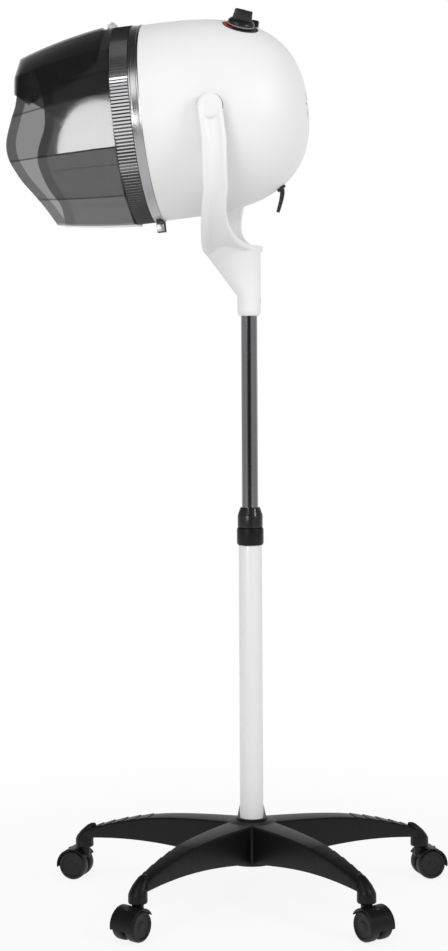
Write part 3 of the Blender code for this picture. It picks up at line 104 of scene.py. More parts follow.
camera = bpy.data.objects.new("camera", bpy.data.cameras.new("camera"))
scene.collection.objects.link(camera)
scene.camera = camera
camera.data.lens = CAMERA_LENS
camera.data.shift_y = CAMERA_SHIFT
spot = POLE + Vector((sin(CAMERA_BEARING), -cos(CAMERA_BEARING), 0.0)) * CAMERA_REACH
spot.z = CAMERA_HEIGHT
aim = Matrix.Rotation(CAMERA_BEARING + CAMERA_PAN, 4, "Z") @ Matrix.Rotation(pi / 2, 4, "X")
camera.matrix_world = Matrix.Translation(spot) @ aim @ Matrix.Rotation(CAMERA_ROLL, 4, "Z")

world = bpy.data.worlds.new("studio")
scene.world = world
world.use_nodes = True
tree = world.node_tree
ray = add(tree, "LightPath", {}).outputs
way = add(tree, "SeparateXYZ", {"Vector": add(tree, "TexCoord", {}).outputs["Generated"]}).outputs
front = ramp(tree, way["Y"], FRONT_SPAN, (ROOM_DARK, ROOM_SIDE))
behind = ramp(tree, way["Y"], BEHIND_SPAN, (0.0, ROOM_PALE))
above = ramp(tree, way["Z"], CEILING_SPAN, (1.0, CEILING_SHARE))
mirrored = reckon(tree, "MULTIPLY", reckon(tree, "MAXIMUM", front, behind), above)
seen = reckon(tree, "MAXIMUM", ray["Is Camera Ray"], ray["Is Transmission Ray"])
level = add(tree, "Mix", {"Factor": ray["Is Glossy Ray"], "A": ROOM_FILL, "B": mirrored})
level = add(tree, "Mix", {"Factor": seen, "A": level.outputs["Result"], "B": 1.0})
backdrop = tree.nodes["Background"]
backdrop.inputs["Color"].default_value = WHITE
tree.links.new(level.outputs["Result"], backdrop.inputs["Strength"])

bpy.ops.object.select_all(action="DESELECT")
bpy.ops.mesh.primitive_plane_add(size=PAPER_SIZE, location=(0.0, 0.0, -PAPER_DROP))
paper = bpy.context.object
paper.name = "floor_paper"
paint = bpy.data.materials.new("floor_paper")
paint.use_nodes = True
tree = paint.node_tree
tree.nodes.remove(tree.nodes["Principled BSDF"])
ray = add(tree, "LightPath", {}).outputs
seen = reckon(tree, "MAXIMUM", ray["Is Camera Ray"], ray["Is Transmission Ray"])
seen = reckon(tree, "MAXIMUM", seen, ray["Is Glossy Ray"])
away = add(tree, "VectorMath", {0: add(tree, "TexCoord", {}).outputs["Object"]}, operation="LENGTH")
fade = ramp(tree, away.outputs["Value"], PAPER_FADE, (PAPER_GLOW, 1.0))
matt = add(tree, "BsdfDiffuse", {"Color": PAPER_COLOUR})
glow = add(tree, "Emission", {"Color": WHITE, "Strength": 1.0})
mixed = add(tree, "MixShader", {0: reckon(tree, "MULTIPLY", seen, fade), 1: matt.outputs["BSDF"],
                                2: glow.outputs["Emission"]})
tree.links.new(mixed.outputs["Shader"], tree.nodes["Material Output"].inputs["Surface"])
paper.data.materials.append(paint)

for name, place, width, height, power in SOFTBOXES:
    lamp = bpy.data.lights.new(name, "AREA")
    lamp.shape = "ELLIPSE"
    lamp.size = width
    lamp.size_y = height
    lamp.energy = power
    holder = bpy.data.objects.new(name, lamp)
    scene.collection.objects.link(holder)
    place = Vector(place)
    facing = (place - HOOD_MIDDLE).to_track_quat("Z", "Y").to_matrix().to_4x4()
    holder.matrix_world = Matrix.Translation(place) @ facing


# Star base: one moulding in black glass-filled nylon. Five hollow arched legs run out of a hub, each with
# low tread steps near its end and a cone over the caster's stem. The hub's bore takes the tube.
LEG_COUNT = 5
LEG_ANGLE = radians(95.4)
LEG_START = 0.022
LEG_REACH = 0.246
LEG_STEPS = 16
LEG_ROOT_WIDTH = 0.046
LEG_END_WIDTH = 0.024
LEG_TOP = 0.111
LEG_DROP = 0.029
LEG_LOW = 0.052
LEG_MIDDLE = (LEG_TOP + LEG_LOW) / 2
LEG_ARCH = 0.018
LEG_ARCH_TURN = radians(130.0)
LEG_WALL = 0.004
LEG_EDGE = 0.0045
HOLLOW_SHARES = (1.0, 0.94, 0.40)
HOLLOW_ROOF = 0.084
HOLLOW_LIP = 0.0005
TREADS = (0.164, 0.185, 0.206, 0.227, 0.246)
TREAD_RISE = 0.0014
TREAD_HALF = 0.0006
TREAD_START = 0.55
TREAD_SLOPE = 0.0253
CASTER_CIRCLE = 0.275
CONE_FOOT = (CASTER_CIRCLE, 0.0500, 0.0132)
CONE_RINGS = ((0.2750, 0.0512, 0.0140), (0.2750, 0.0620, 0.0138), (0.2735, 0.0670, 0.0128),
              (0.2700, 0.0740, 0.0108), (0.2655, 0.0800, 0.0086), (0.2625, 0.0840, 0.0066),
              (0.2606, 0.0862, 0.0040), (0.2600, 0.0868, 0.0014))
HUB = ((0.0048, 0.0500), (0.0392, 0.0500), (0.0408, 0.0516), (0.0408, 0.1050), (0.0385, 0.1095),
       (0.0330, 0.1120), (0.0240, 0.1130), (0.0236, 0.1150), (0.0222, 0.1162), (0.0192, 0.1162),
       (0.0184, 0.1150), (0.0184, 0.0618), (0.0048, 0.0618))
NYLON_BLACK = (0.0055, 0.0055, 0.0058)
CLOUDS = 11.0
AXES = {"X": (1, 0, 0), "Y": (0, 1, 0), "Z": (0, 0, 1)}


def begin():
    """Leave edit mode and deselect everything, so that operators act on the new piece alone."""
    active = bpy.context.view_layer.objects.active
    if active is not None and active.mode == "EDIT":
        bpy.ops.object.mode_set(mode="OBJECT")
    bpy.ops.object.select_all(action="DESELECT")


def take(piece):
    """Select one piece alone and make it the active one."""
    begin()
    piece.select_set(True)
    bpy.context.view_layer.objects.active = piece
    return piece


def edit(piece):
    """Open a piece in edit mode with all of it selected."""
    take(piece)
    bpy.ops.object.mode_set(mode="EDIT")
    bpy.ops.mesh.select_all(action="SELECT")
    return piece


def pick(piece, kind, test):
    """In edit mode, select only the vertices, edges or faces that pass the test."""
    bpy.ops.mesh.select_mode(type={"verts": "VERT", "edges": "EDGE", "faces": "FACE"}[kind])
    bpy.ops.mesh.select_all(action="DESELECT")
    mesh = bmesh.from_edit_mesh(piece.data)
    for item in getattr(mesh, kind):
        item.select_set(test(item))
    mesh.select_flush_mode()
    bmesh.update_edit_mesh(piece.data)


def extrude(x, y, z):
    """Extrude what is selected and move it."""
    bpy.ops.mesh.extrude_region_move(TRANSFORM_OT_translate={"value": (x, y, z)})


def scale(shares, centre):
    """Scale what is selected by three shares, about a centre."""
    bpy.ops.transform.resize(value=shares, center_override=centre)


def draw(name, points):
    """Draw a line of edges, left in edit mode: one vertex, extruded from point to point."""
    begin()
    bpy.ops.mesh.primitive_plane_add(size=0.01)
    piece = bpy.context.object
    piece.name = name
    bpy.ops.object.mode_set(mode="EDIT")
    bpy.ops.mesh.select_mode(type="VERT")
    bpy.ops.mesh.merge(type="CENTER")
    places = [Vector(point) for point in points]
    bpy.ops.transform.translate(value=places[0])
    for first, second in zip(places, places[1:]):
        extrude(*(second - first))
    bpy.ops.mesh.select_all(action="SELECT")
    bpy.ops.mesh.remove_doubles(threshold=1e-6)
    return piece


def closed(points):
    """The points of an outline, with the first one again at its end."""
    return [*points, points[0]]


def tidy_skin():
    """In edit mode, close the seams of the mesh and turn its faces outwards."""
    bpy.ops.mesh.select_all(action="SELECT")
    bpy.ops.mesh.remove_doubles(threshold=1e-5)
    bpy.ops.mesh.normals_make_consistent(inside=False)
    bpy.ops.object.mode_set(mode="OBJECT")


def spun(name, profile, axis="Z", steps=96):
    """Turn a profile of (radius, height) points about an axis through the origin."""
    if axis == "X":
        points = [(height, 0.0, radius) for radius, height in profile]
    elif axis == "Y":
        points = [(radius, height, 0.0) for radius, height in profile]
    else:
        points = [(radius, 0.0, height) for radius, height in profile]
    piece = draw(name, points)
    bpy.ops.mesh.spin(steps=steps, angle=tau, center=(0, 0, 0), axis=AXES[axis])
    tidy_skin()
    return piece


def prism(name, points, way):
    """Fill a drawn outline and extrude it into a solid."""
    piece = draw(name, closed(points))
    bpy.ops.mesh.edge_face_add()
    extrude(*way)
    tidy_skin()
    return piece


def block(name, size, place):
    """Add a cube and give it its size and place in edit mode, where it stays."""
    begin()
    bpy.ops.mesh.primitive_cube_add(size=1.0)
    piece = bpy.context.object
    piece.name = name
    bpy.ops.object.mode_set(mode="EDIT")
    bpy.ops.transform.resize(value=size)
    bpy.ops.transform.translate(value=place)
    return piece


def rod(name, radius, low, high, axis="Z", steps=32):
    """A round rod along an axis, the tool for bores, seats and holes."""
    return spun(name, [(0.0, low), (radius, low), (radius, high), (0.0, high)], axis, steps)


def alter(piece, kind, **settings):
    """Put a modifier on a piece and apply it."""
    take(piece)
    step = piece.modifiers.new(kind.lower(), kind)
    for word, value in settings.items():
        setattr(step, word, value)
    bpy.ops.object.modifier_apply(modifier=step.name)
    return piece


def soften(piece, width, segments=2, angle=radians(35.0)):
    """Round over the edges that are sharper than an angle."""
    return alter(piece, "BEVEL", width=width, segments=segments, limit_method="ANGLE", angle_limit=angle,
                 use_clamp_overlap=True, harden_normals=False)


def discard(*pieces):
    """Delete pieces that were only tools or patterns."""
    for piece in pieces:
        bpy.data.objects.remove(piece, do_unlink=True)


def combine(piece, tool, operation):
    """Join, cut or keep what is common with another piece, which is used up."""
    alter(piece, "BOOLEAN", operation=operation, object=tool, solver="EXACT")
    discard(tool)
    return piece


def put(piece, matrix):
    """Move a piece into its place and write that place into its mesh."""
    take(piece)
    piece.matrix_world = matrix
    bpy.ops.object.transform_apply(location=True, rotation=True, scale=True)
    return piece


def twin(piece, name, matrix):
    """Copy a piece with its own mesh, and put the copy in its place."""
    take(piece)
    bpy.ops.object.duplicate(linked=False)
    copy = bpy.context.object
    copy.name = name
    return put(copy, matrix)


def shade(piece, angle=radians(38.0)):
    """Shade a piece smooth, apart from edges that are sharper than an angle."""
    take(piece)
    bpy.ops.object.shade_smooth_by_angle(angle=angle)
    return piece


def surface(name, colour, roughness, grain, depth, spread=0.06, gloss=0.05, stretch=(1.0, 1.0, 1.0),
            **sockets):
    """A finish whose fine grain moves height and gloss, and whose broad clouds move the colour."""
    paint = bpy.data.materials.new(name)
    paint.use_nodes = True
    tree = paint.node_tree
    shader = tree.nodes["Principled BSDF"]
    place = add(tree, "TexCoord", {})
    drawn = add(tree, "Mapping", {"Vector": place.outputs["Object"], "Scale": stretch})
    fine = add(tree, "TexNoise", {"Vector": drawn.outputs["Vector"], "Scale": grain, "Detail": 3.0})
    broad = add(tree, "TexNoise", {"Vector": place.outputs["Object"], "Scale": CLOUDS, "Detail": 4.0})
    dark = [channel * (1 - spread) for channel in colour] + [1.0]
    pale = [min(1.0, channel * (1 + spread)) for channel in colour] + [1.0]
    # A colour Mix has its factor in input 0, its colours in 6 and 7, and the result in output 2.
    tone = add(tree, "Mix", {0: broad.outputs[0], 6: dark, 7: pale}, data_type="RGBA")
    tree.links.new(tone.outputs[2], shader.inputs["Base Color"])
    sheen = add(tree, "MapRange", {"Value": fine.outputs[0], "From Min": 0.3, "From Max": 0.7,
                                   "To Min": roughness - gloss, "To Max": roughness + gloss})
    tree.links.new(sheen.outputs["Result"], shader.inputs["Roughness"])
    bump = add(tree, "Bump", {"Height": fine.outputs[0], "Distance": depth, "Strength": 1.0})
    tree.links.new(bump.outputs["Normal"], shader.inputs["Normal"])
    for word, value in sockets.items():
        shader.inputs[word.replace("_", " ")].default_value = value
    return paint


def fit(piece, paint, body, slot, *nodes):
    """Give a finished piece its material, the body that carries it and the nodes that it stands for."""
    if paint.name not in piece.data.materials:
        piece.data.materials.append(paint)
    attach(piece, body)
    if nodes:
        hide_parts(*nodes)


def at_station(x):
    """A test for the vertices at a distance along the leg."""
    return lambda vertex: abs(vertex.co.x - x) < 1e-5


def on_top_edge(edge):
    """True for the long edges at both sides of the leg's top."""
    first, second = edge.verts
    return (abs(first.co.x - second.co.x) > 1e-5 and abs(first.co.y) > 0.005
            and abs(first.co.y - second.co.y) < 0.02 and min(first.normal.z, second.normal.z) > 0.1)


black_nylon = surface("black_nylon", NYLON_BLACK, 0.42, 900.0, 0.00006, spread=0.18, gloss=0.07,
                      Specular_IOR_Level=0.25)

hub = spun("star_base", closed(HUB), steps=80)

leg = block("leg", (LEG_REACH, LEG_ROOT_WIDTH, LEG_TOP - LEG_LOW),
            (LEG_START + LEG_REACH / 2, 0.0, LEG_MIDDLE))
stations = [LEG_START + LEG_REACH * i / LEG_STEPS for i in range(LEG_STEPS + 1)]
for tread in TREADS:
    stations += [tread - TREAD_HALF, tread + TREAD_HALF]
stations.sort()
for x in stations[1:-1]:
    bpy.ops.mesh.select_all(action="SELECT")
    bpy.ops.mesh.bisect(plane_co=(x, 0.0, 0.0), plane_no=(1.0, 0.0, 0.0))
for x in stations:
    along = (x - LEG_START) / LEG_REACH
    width = LEG_ROOT_WIDTH + (LEG_END_WIDTH - LEG_ROOT_WIDTH) * along
    steps_passed = sum(x > tread for tread in TREADS)
    tread_slope = max(0.0, along - TREAD_START) * TREAD_SLOPE
    drop = LEG_DROP * along ** 3 - steps_passed * TREAD_RISE + tread_slope
    arch = LEG_ARCH * sin(LEG_ARCH_TURN * along)
    pick(leg, "verts", at_station(x))
    scale((1.0, width / LEG_ROOT_WIDTH, 1.0), (x, 0.0, 0.0))
    pick(leg, "verts", lambda v: at_station(x)(v) and v.co.z > LEG_MIDDLE)
    bpy.ops.transform.translate(value=(0.0, 0.0, -drop))
    pick(leg, "verts", lambda v: at_station(x)(v) and abs(v.co.z - LEG_LOW) < 1e-5)
    bpy.ops.transform.translate(value=(0.0, 0.0, arch))
pick(leg, "edges", on_top_edge)
bpy.ops.mesh.bevel(offset=LEG_EDGE, segments=3, profile=0.55, clamp_overlap=False)
pick(leg, "faces", lambda f: f.normal.z < -0.6)
bpy.ops.mesh.inset(thickness=LEG_WALL, use_boundary=True)
extrude(0.0, 0.0, HOLLOW_LIP)
scale(HOLLOW_SHARES, (0.0, 0.0, HOLLOW_ROOF))
tidy_skin()

begin()
cone_x, cone_z, cone_radius = CONE_FOOT
bpy.ops.mesh.primitive_circle_add(vertices=32, radius=cone_radius, fill_type="NGON",
                                  location=(cone_x, 0.0, cone_z))
cone = bpy.context.object
bpy.ops.object.mode_set(mode="EDIT")
for x, z, radius in CONE_RINGS:
    extrude(x - cone_x, 0.0, z - cone_z)
    narrower = radius / cone_radius
    scale((narrower, narrower, 1.0), (x, 0.0, z))
    cone_x, cone_z, cone_radius = x, z, radius
tidy_skin()
put(cone, cone.matrix_world.copy())

for i in range(LEG_COUNT):
    turn = Matrix.Rotation(LEG_ANGLE + tau * i / LEG_COUNT, 4, "Z")
    combine(hub, twin(leg, "leg_copy", turn), "UNION")
    combine(hub, twin(cone, "cone_copy", turn), "UNION")
discard(leg, cone)
put(hub, ON_POLE)
shade(hub, radians(28.0))
fit(hub, black_nylon, "base", "black_nylon", "base_star")


# Casters: twin-wheel nylon casters. A cover arches over both wheels and carries a neck with the steel stem;
# each wheel is a hard tyre moulded with a dished disc, on a steel axle through the web.
CASTER_TRAIL = 0.014
AXLE_HEIGHT = 0.022068
AXLE = Matrix.Translation((CASTER_TRAIL, 0.0, AXLE_HEIGHT))
COVER_START = radians(-8.0)
COVER_TURN = radians(156.0)
COVER_INNER = 0.0237
COVER_OUTER = 0.0255
COVER_HALF = 0.0200
COVER_ROUND = (0.0008, 0.0009)
WEB_HALF = 0.0034
WEB = ((0.0, -WEB_HALF), (0.0165, -WEB_HALF), (0.0170, 0.0), (0.0165, WEB_HALF), (0.0, WEB_HALF))
SPINE_SIZE = (0.029, 2 * WEB_HALF, 0.0250)
SPINE_PLACE = (-0.0025, 0.0, 0.0115)
NECK = ((0.0, 0.0300), (0.0085, 0.0300), (0.0085, 0.0482), (0.0072, 0.0497), (0.0050, 0.0497),
        (0.0050, 0.0735), (0.0, 0.0735))
WHEEL_ROOM = 0.0246
WHEEL_SPAN = (-0.03, 0.03)
TYRE = ((0.0033, 0.0039), (0.0190, 0.0039), (0.0208, 0.0046), (0.0218, 0.0060), (0.0220, 0.0085),
        (0.0220, 0.0140), (0.0217, 0.0168), (0.0208, 0.0188), (0.0194, 0.0198), (0.0178, 0.0200),
        (0.0168, 0.0196), (0.0164, 0.0186), (0.0158, 0.0180), (0.0080, 0.0176), (0.0072, 0.0182),
        (0.0052, 0.0187), (0.0, 0.0188), (0.0, 0.0174), (0.0033, 0.0174))

black_tyre = surface("black_tyre", (0.011, 0.011, 0.0115), 0.50, 700.0, 0.00008, spread=0.15, gloss=0.06,
                     Specular_IOR_Level=0.30)
zinc_steel = surface("zinc_steel", (0.56, 0.56, 0.57), 0.34, 420.0, 0.00003, spread=0.08, Metallic=1.0)


def finish_nodes(paint, *nodes):
    """Give solids that keep their shape their real finish."""
    for node in nodes:
        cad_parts[node].material_slots[0].material = paint


rise, side = COVER_ROUND
corners = [(COVER_INNER, -COVER_HALF), (COVER_OUTER - rise, -COVER_HALF), (COVER_OUTER, -COVER_HALF + side),
           (COVER_OUTER, COVER_HALF - side), (COVER_OUTER - rise, COVER_HALF), (COVER_INNER, COVER_HALF)]
caster = draw("caster", closed([(r * cos(COVER_START), y, r * sin(COVER_START)) for r, y in corners]))
bpy.ops.mesh.edge_face_add()
bpy.ops.mesh.spin(steps=30, angle=COVER_TURN, center=(0, 0, 0), axis=AXES["Y"])
tidy_skin()
combine(caster, spun("web", WEB, "Y", 40), "UNION")
combine(caster, block("spine", SPINE_SIZE, SPINE_PLACE), "UNION")
put(caster, AXLE)
neck = spun("neck", NECK, steps=32)
combine(neck, put(rod("room", WHEEL_ROOM, *WHEEL_SPAN, "Y", 48), AXLE), "DIFFERENCE")
combine(caster, neck, "UNION")

wheels = {}
for word, side in (("left", 1), ("right", -1)):
    wheel = spun("wheel_" + word, closed([(r, side * y) for r, y in TYRE]), "Y", 56)
    wheels[word] = put(wheel, AXLE)

for i in range(LEG_COUNT):
    number = str(i + 1)
    angle = LEG_ANGLE + tau * i / LEG_COUNT
    swivel = POLE + Vector((cos(angle), sin(angle), 0.0)) * CASTER_CIRCLE
    place = Matrix.Translation(swivel) @ Matrix.Rotation(angle, 4, "Z")
    body = shade(twin(caster, "caster_hood_" + number, place), radians(32.0))
    fit(body, black_nylon, "caster_" + number, "black_nylon", "caster_body_" + number)
    for word, wheel in wheels.items():
        name = "wheel_" + word + "_" + number
        fit(shade(twin(wheel, "tyre_" + word + "_" + number, place)), black_tyre, name, "black_tyre", name)
discard(caster, *wheels.values())
finish_nodes(zinc_steel, *("caster_axle_" + str(i + 1) for i in range(LEG_COUNT)))


# Pole: a white powder-coated steel tube in the hub, a black twist lock on its top end, and a chromed
# steel tube that slides in it. The lock's nut squeezes a slit collet on the chromed tube.
LOWER_TUBE = ((0.0163, 0.0623), (0.0178, 0.0623), (0.0178, 0.5435), (0.0173, 0.5450), (0.0163, 0.5450))
UPPER_TUBE = ((0.0113, 0.3150), (0.0125, 0.3150), (0.0125, 0.9380), (0.0113, 0.9380))
LOCK = ((0.0181, 0.5300), (0.0188, 0.5300), (0.0197, 0.5312), (0.0203, 0.5330), (0.0203, 0.5538),
        (0.0199, 0.5552), (0.0190, 0.5558), (0.0181, 0.5558))
NUT = ((0.0162, 0.5562), (0.0186, 0.5562), (0.0192, 0.5570), (0.0192, 0.5742), (0.0189, 0.5752),
       (0.0152, 0.5862), (0.0146, 0.5870), (0.0129, 0.5870), (0.0129, 0.5800), (0.0162, 0.5700))
NUT_RIBS = 24
NUT_CONE = (0.576, 0.586)
NUT_CONE_LEAST = 0.0148
GROOVE_EDGE = 0.0003
GROOVE_SHARE = 0.955

white_paint = surface("white_paint", (0.84, 0.84, 0.835), 0.30, 700.0, 0.000015, spread=0.015, gloss=0.05,
                      Coat_Weight=0.15)
chrome = surface("chrome", (0.36, 0.36, 0.37), 0.09, 240.0, 0.000004, spread=0.05, gloss=0.025,
                 stretch=(1.0, 1.0, 0.03), Metallic=1.0)

tube = put(spun("lower_tube_white", closed(LOWER_TUBE)), ON_POLE)
fit(shade(tube), white_paint, "base", "white_paint", "lower_tube")
lock = put(spun("lock_socket", closed(LOCK)), ON_POLE)
fit(shade(lock), black_nylon, "base", "black_nylon", "lock_body")


def in_grip_groove(face):
    """True for two of every four faces round the nut's cone, which sink in between its grip ribs."""
    middle = face.calc_center_median()
    step = int(atan2(middle.y, middle.x) % tau / (tau / NUT_RIBS / 4))
    return (NUT_CONE[0] < middle.z < NUT_CONE[1] and face.normal.z < 0.8
            and Vector(middle[:2]).length > NUT_CONE_LEAST and step % 4 < 2)


nut = edit(spun("lock_grip", closed(NUT), steps=NUT_RIBS * 4))
pick(nut, "faces", in_grip_groove)
bpy.ops.mesh.inset(thickness=GROOVE_EDGE, use_boundary=True)
scale((GROOVE_SHARE, GROOVE_SHARE, 1.0), (0.0, 0.0, sum(NUT_CONE) / 2))
put(nut, ON_POLE)
nut_nylon = surface("nut_nylon", (0.014, 0.014, 0.015), 0.22, 900.0, 0.00003, spread=0.12, gloss=0.05)
fit(shade(nut, radians(25.0)), nut_nylon, "lock_nut", "black_nylon", "lock_nut")

tube = put(spun("upper_tube_chrome", closed(UPPER_TUBE), steps=128), ON_POLE)
fit(shade(tube), chrome, "upper", "chrome", "upper_tube")
finish_nodes(black_nylon, "tube_plug", "lock_collet", "guide_bush")
finish_nodes(zinc_steel, "hub_bolt")


# Yoke: one casting in the hood's satin white. A strap with a raised front rim and a hollow outer face runs
# under the hood from arm to arm, flares back over its foot, and stands on a gusset that ends in a socket.
PIVOT = Vector((-0.041, 0.0, 1.184))
YOKE_INNER = 0.1517
YOKE_CENTRE = 1.136
YOKE_FRONT = -0.067
YOKE_SWAY = 0.0145
SWAY_SHARE = 0.7
ARM_WIDTH = 0.036
ARM_STEPS = 6
FOOT_WIDTH = 0.089
FLARE_SHARE = 0.62
STRAP_STEPS = 72
EYE = ((0.0, 0.1509), (0.0185, 0.1509), (0.0185, 0.1589), (0.0170, 0.1611), (0.0130, 0.1623), (0.0, 0.1627))
GUSSET_SINK = 0.0005
GUSSET_HEAD = YOKE_CENTRE - YOKE_INNER - GUSSET_SINK
GUSSET_FRONT = -0.0665
GUSSET_HALF = 0.038
GUSSET_STRAIGHT = 0.14
GUSSET_POWER = 2.2
GUSSET_STEPS = 12
SOCKET_TOP = 0.908
SOCKET_RADIUS = 0.018
SOCKET_END = ((SOCKET_RADIUS, 0.8860), (0.0175, 0.8830), (0.0160, 0.8790), (0.0152, 0.8780))
SOCKET_BORE = 0.0128
SOCKET_SPAN = (0.8700, 0.9385)
VOXEL = 0.0011

white_plastic = surface("white_plastic", (0.87, 0.87, 0.868), 0.46, 420.0, 0.00003, spread=0.012, gloss=0.05)


def rotate(angle, axis, centre):
    """Turn what is selected about an axis; without a window the operator turns the other way."""
    bpy.ops.transform.rotate(value=-angle, orient_axis=axis, center_override=centre)


section = [(0.0, 0.0), (ARM_WIDTH, 0.0), (ARM_WIDTH, 0.0085), (ARM_WIDTH - 0.0025, 0.0100),
           (ARM_WIDTH - 0.0055, 0.0092), (ARM_WIDTH - 0.0100, 0.0068), (ARM_WIDTH / 2, 0.0054),
           (0.0115, 0.0064), (0.0078, 0.0094), (0.0052, 0.0126), (0.0016, 0.0130), (0.0, 0.0120)]
arm_front = PIVOT.x - ARM_WIDTH / 2
front = YOKE_FRONT + YOKE_SWAY
lean = (front - arm_front) / ARM_STEPS
yoke = draw("yoke_cast", closed([(arm_front + u, -YOKE_INNER - d, PIVOT.z) for u, d in section]))
bpy.ops.mesh.edge_face_add()
for i in range(ARM_STEPS):
    extrude(lean, 0.0, (YOKE_CENTRE - PIVOT.z) / ARM_STEPS)
width = ARM_WIDTH
for i in range(1, STRAP_STEPS + 1):
    share = abs(2.0 * i / STRAP_STEPS - 1.0)
    wider = ARM_WIDTH + (FOOT_WIDTH - ARM_WIDTH) * max(0.0, 1.0 - share / FLARE_SHARE) ** 2
    extrude(0.0, 0.0, 0.0)
    rotate(pi / STRAP_STEPS, "X", (0.0, 0.0, YOKE_CENTRE))
    scale((wider / width, 1.0, 1.0), (front, 0.0, YOKE_CENTRE))
    swayed = YOKE_FRONT + YOKE_SWAY * min(1.0, share / SWAY_SHARE) ** 2
    bpy.ops.transform.translate(value=(swayed - front, 0.0, 0.0))
    width, front = wider, swayed
for i in range(ARM_STEPS):
    extrude(-lean, 0.0, (PIVOT.z - YOKE_CENTRE) / ARM_STEPS)
tidy_skin()

for turn in (pi, 0.0):
    place = Matrix.Translation(PIVOT) @ Matrix.Rotation(turn, 4, "Z")
    combine(yoke, put(spun("eye", EYE, "Y", 48), place), "UNION")

rings = []
for i in range(GUSSET_STEPS + 1):
    share = i / GUSSET_STEPS
    slope = max(0.0, share - GUSSET_STRAIGHT) / (1.0 - GUSSET_STRAIGHT)
    half = SOCKET_RADIUS + (GUSSET_HALF - SOCKET_RADIUS) * (1.0 - share) ** GUSSET_POWER
    rings.append((GUSSET_FRONT - (SOCKET_RADIUS + GUSSET_FRONT) * slope, SOCKET_RADIUS, half,
                  GUSSET_HEAD + (SOCKET_TOP - GUSSET_HEAD) * share))
rings += [(-radius, radius, radius, z) for radius, z in SOCKET_END]
begin()
bpy.ops.mesh.primitive_circle_add(vertices=56, radius=1.0, fill_type="NGON")
gusset = bpy.context.object
bpy.ops.object.mode_set(mode="EDIT")
last = (1.0, 1.0, 0.0, 0.0)
for i, (x0, x1, half, z) in enumerate(rings):
    reach, middle = (x1 - x0) / 2, (x0 + x1) / 2
    if i:
        extrude(0.0, 0.0, 0.0)
    scale((reach / last[0], half / last[1], 1.0), (last[2], 0.0, last[3]))
    bpy.ops.transform.translate(value=(middle - last[2], 0.0, z - last[3]))
    last = (reach, half, middle, z)
tidy_skin()
combine(yoke, gusset, "UNION")
alter(yoke, "REMESH", mode="VOXEL", voxel_size=VOXEL, use_smooth_shade=True)
alter(yoke, "SMOOTH", factor=0.5, iterations=7)
combine(yoke, rod("bore", SOCKET_BORE, *SOCKET_SPAN, steps=64), "DIFFERENCE")
put(yoke, ON_POLE)
fit(shade(yoke), white_plastic, "yoke", "white_plastic", "yoke")
finish_nodes(zinc_steel, "yoke_grub_screw", "pivot_screw_near", "pivot_screw_far")
finish_nodes(black_nylon, "friction_washer_near", "friction_washer_far")


# Hood shell: a deep-drawn dome in satin white plastic, squared off at the back. Round bosses take the
# yoke's pivots, eight slots let air in at the back, and two round seats hold the controls.
HOOD_TILT = radians(-6.0)
HOOD = Matrix.Translation(POLE + PIVOT) @ Matrix.Rotation(HOOD_TILT, 4, "Y")
PIVOT_STATION = 0.1025
SHELL_RADIUS = 0.150
SHELL_LENGTH = 0.235
LENGTH_POWER = 3.2
RADIUS_POWER = 2.5
SHELL_WALL = 0.003
SHELL_STEPS = 44
SHELL_RIM = ((0.1500, 0.0012), (0.1497, 0.0003), (0.1485, 0.0003), (0.1485, -0.0060), (0.1453, -0.0060),
             (0.1453, 0.0010))
CONTROL_STATION = 0.151
CONTROL_ANGLE = radians(21.0)
GLAND_STATION = 0.1805
VENT_COUNT = 8
BOSS = ((0.0, 0.1400), (0.0190, 0.1400), (0.0190, 0.1469), (0.0184, 0.1477), (0.0, 0.1477))
SLOT_SIZE = (0.050, 0.0045, 0.016)
SLOT_PLACE = (SHELL_LENGTH - 0.010 - PIVOT_STATION, 0.0, 0.018)
SLOT_EDGE = 0.0022
DIAL_SEAT = 0.0278
GLAND_BORE = 0.0048
BORE_SPAN = (-0.02, 0.02)


def station(s):
    """Place along the hood's axis, from the pivots, of a distance behind the band's rear edge."""
    return s - PIVOT_STATION


def dome(inset):
    """Points (radius, distance) of the shell's squared-off dome, from its rim to its pole."""
    points = []
    for i in range(SHELL_STEPS + 1):
        turn = pi / 2 * i / SHELL_STEPS
        points.append(((SHELL_RADIUS - inset) * max(0.0, cos(turn)) ** (2 / RADIUS_POWER),
                       (SHELL_LENGTH - inset) * sin(turn) ** (2 / LENGTH_POWER)))
    return points


def shell_radius(s):
    """Radius of the shell at a distance behind the band's rear edge."""
    return SHELL_RADIUS * (1.0 - (s / SHELL_LENGTH) ** LENGTH_POWER) ** (1 / RADIUS_POWER)


def shell_frame(s, turn):
    """A frame on the shell in the hood's own frame; its z points out of the shell."""
    step = 0.001
    lean = atan2(shell_radius(s - step) - shell_radius(s + step), 2 * step)
    around = Matrix.Rotation(turn, 4, "X")
    return around @ Matrix.Translation((station(s), 0.0, shell_radius(s))) @ Matrix.Rotation(lean, 4, "Y")


profile = [*reversed(dome(0.0)[2:]), *SHELL_RIM, *dome(SHELL_WALL)[2:]]
shell = spun("shell_white", [(r, station(s)) for r, s in profile], "X", 160)
for turn in (pi, 0.0):
    combine(shell, put(spun("boss", BOSS, "Y", 48), Matrix.Rotation(turn, 4, "Z")), "UNION")
slot = block("slot", SLOT_SIZE, (0.0, 0.0, 0.0))
pick(slot, "edges", lambda e: abs(e.verts[0].co.x - e.verts[1].co.x) > 0.01)
bpy.ops.mesh.bevel(offset=SLOT_EDGE, segments=6)
put(slot, Matrix.Translation(SLOT_PLACE))
for i in range(VENT_COUNT):
    combine(shell, twin(slot, "slot_copy", Matrix.Rotation(tau * i / VENT_COUNT, 4, "X")), "DIFFERENCE")
discard(slot)
for side in (-1, 1):
    place = shell_frame(CONTROL_STATION, side * CONTROL_ANGLE)
    combine(shell, put(rod("seat", DIAL_SEAT, *BORE_SPAN, steps=72), place), "DIFFERENCE")
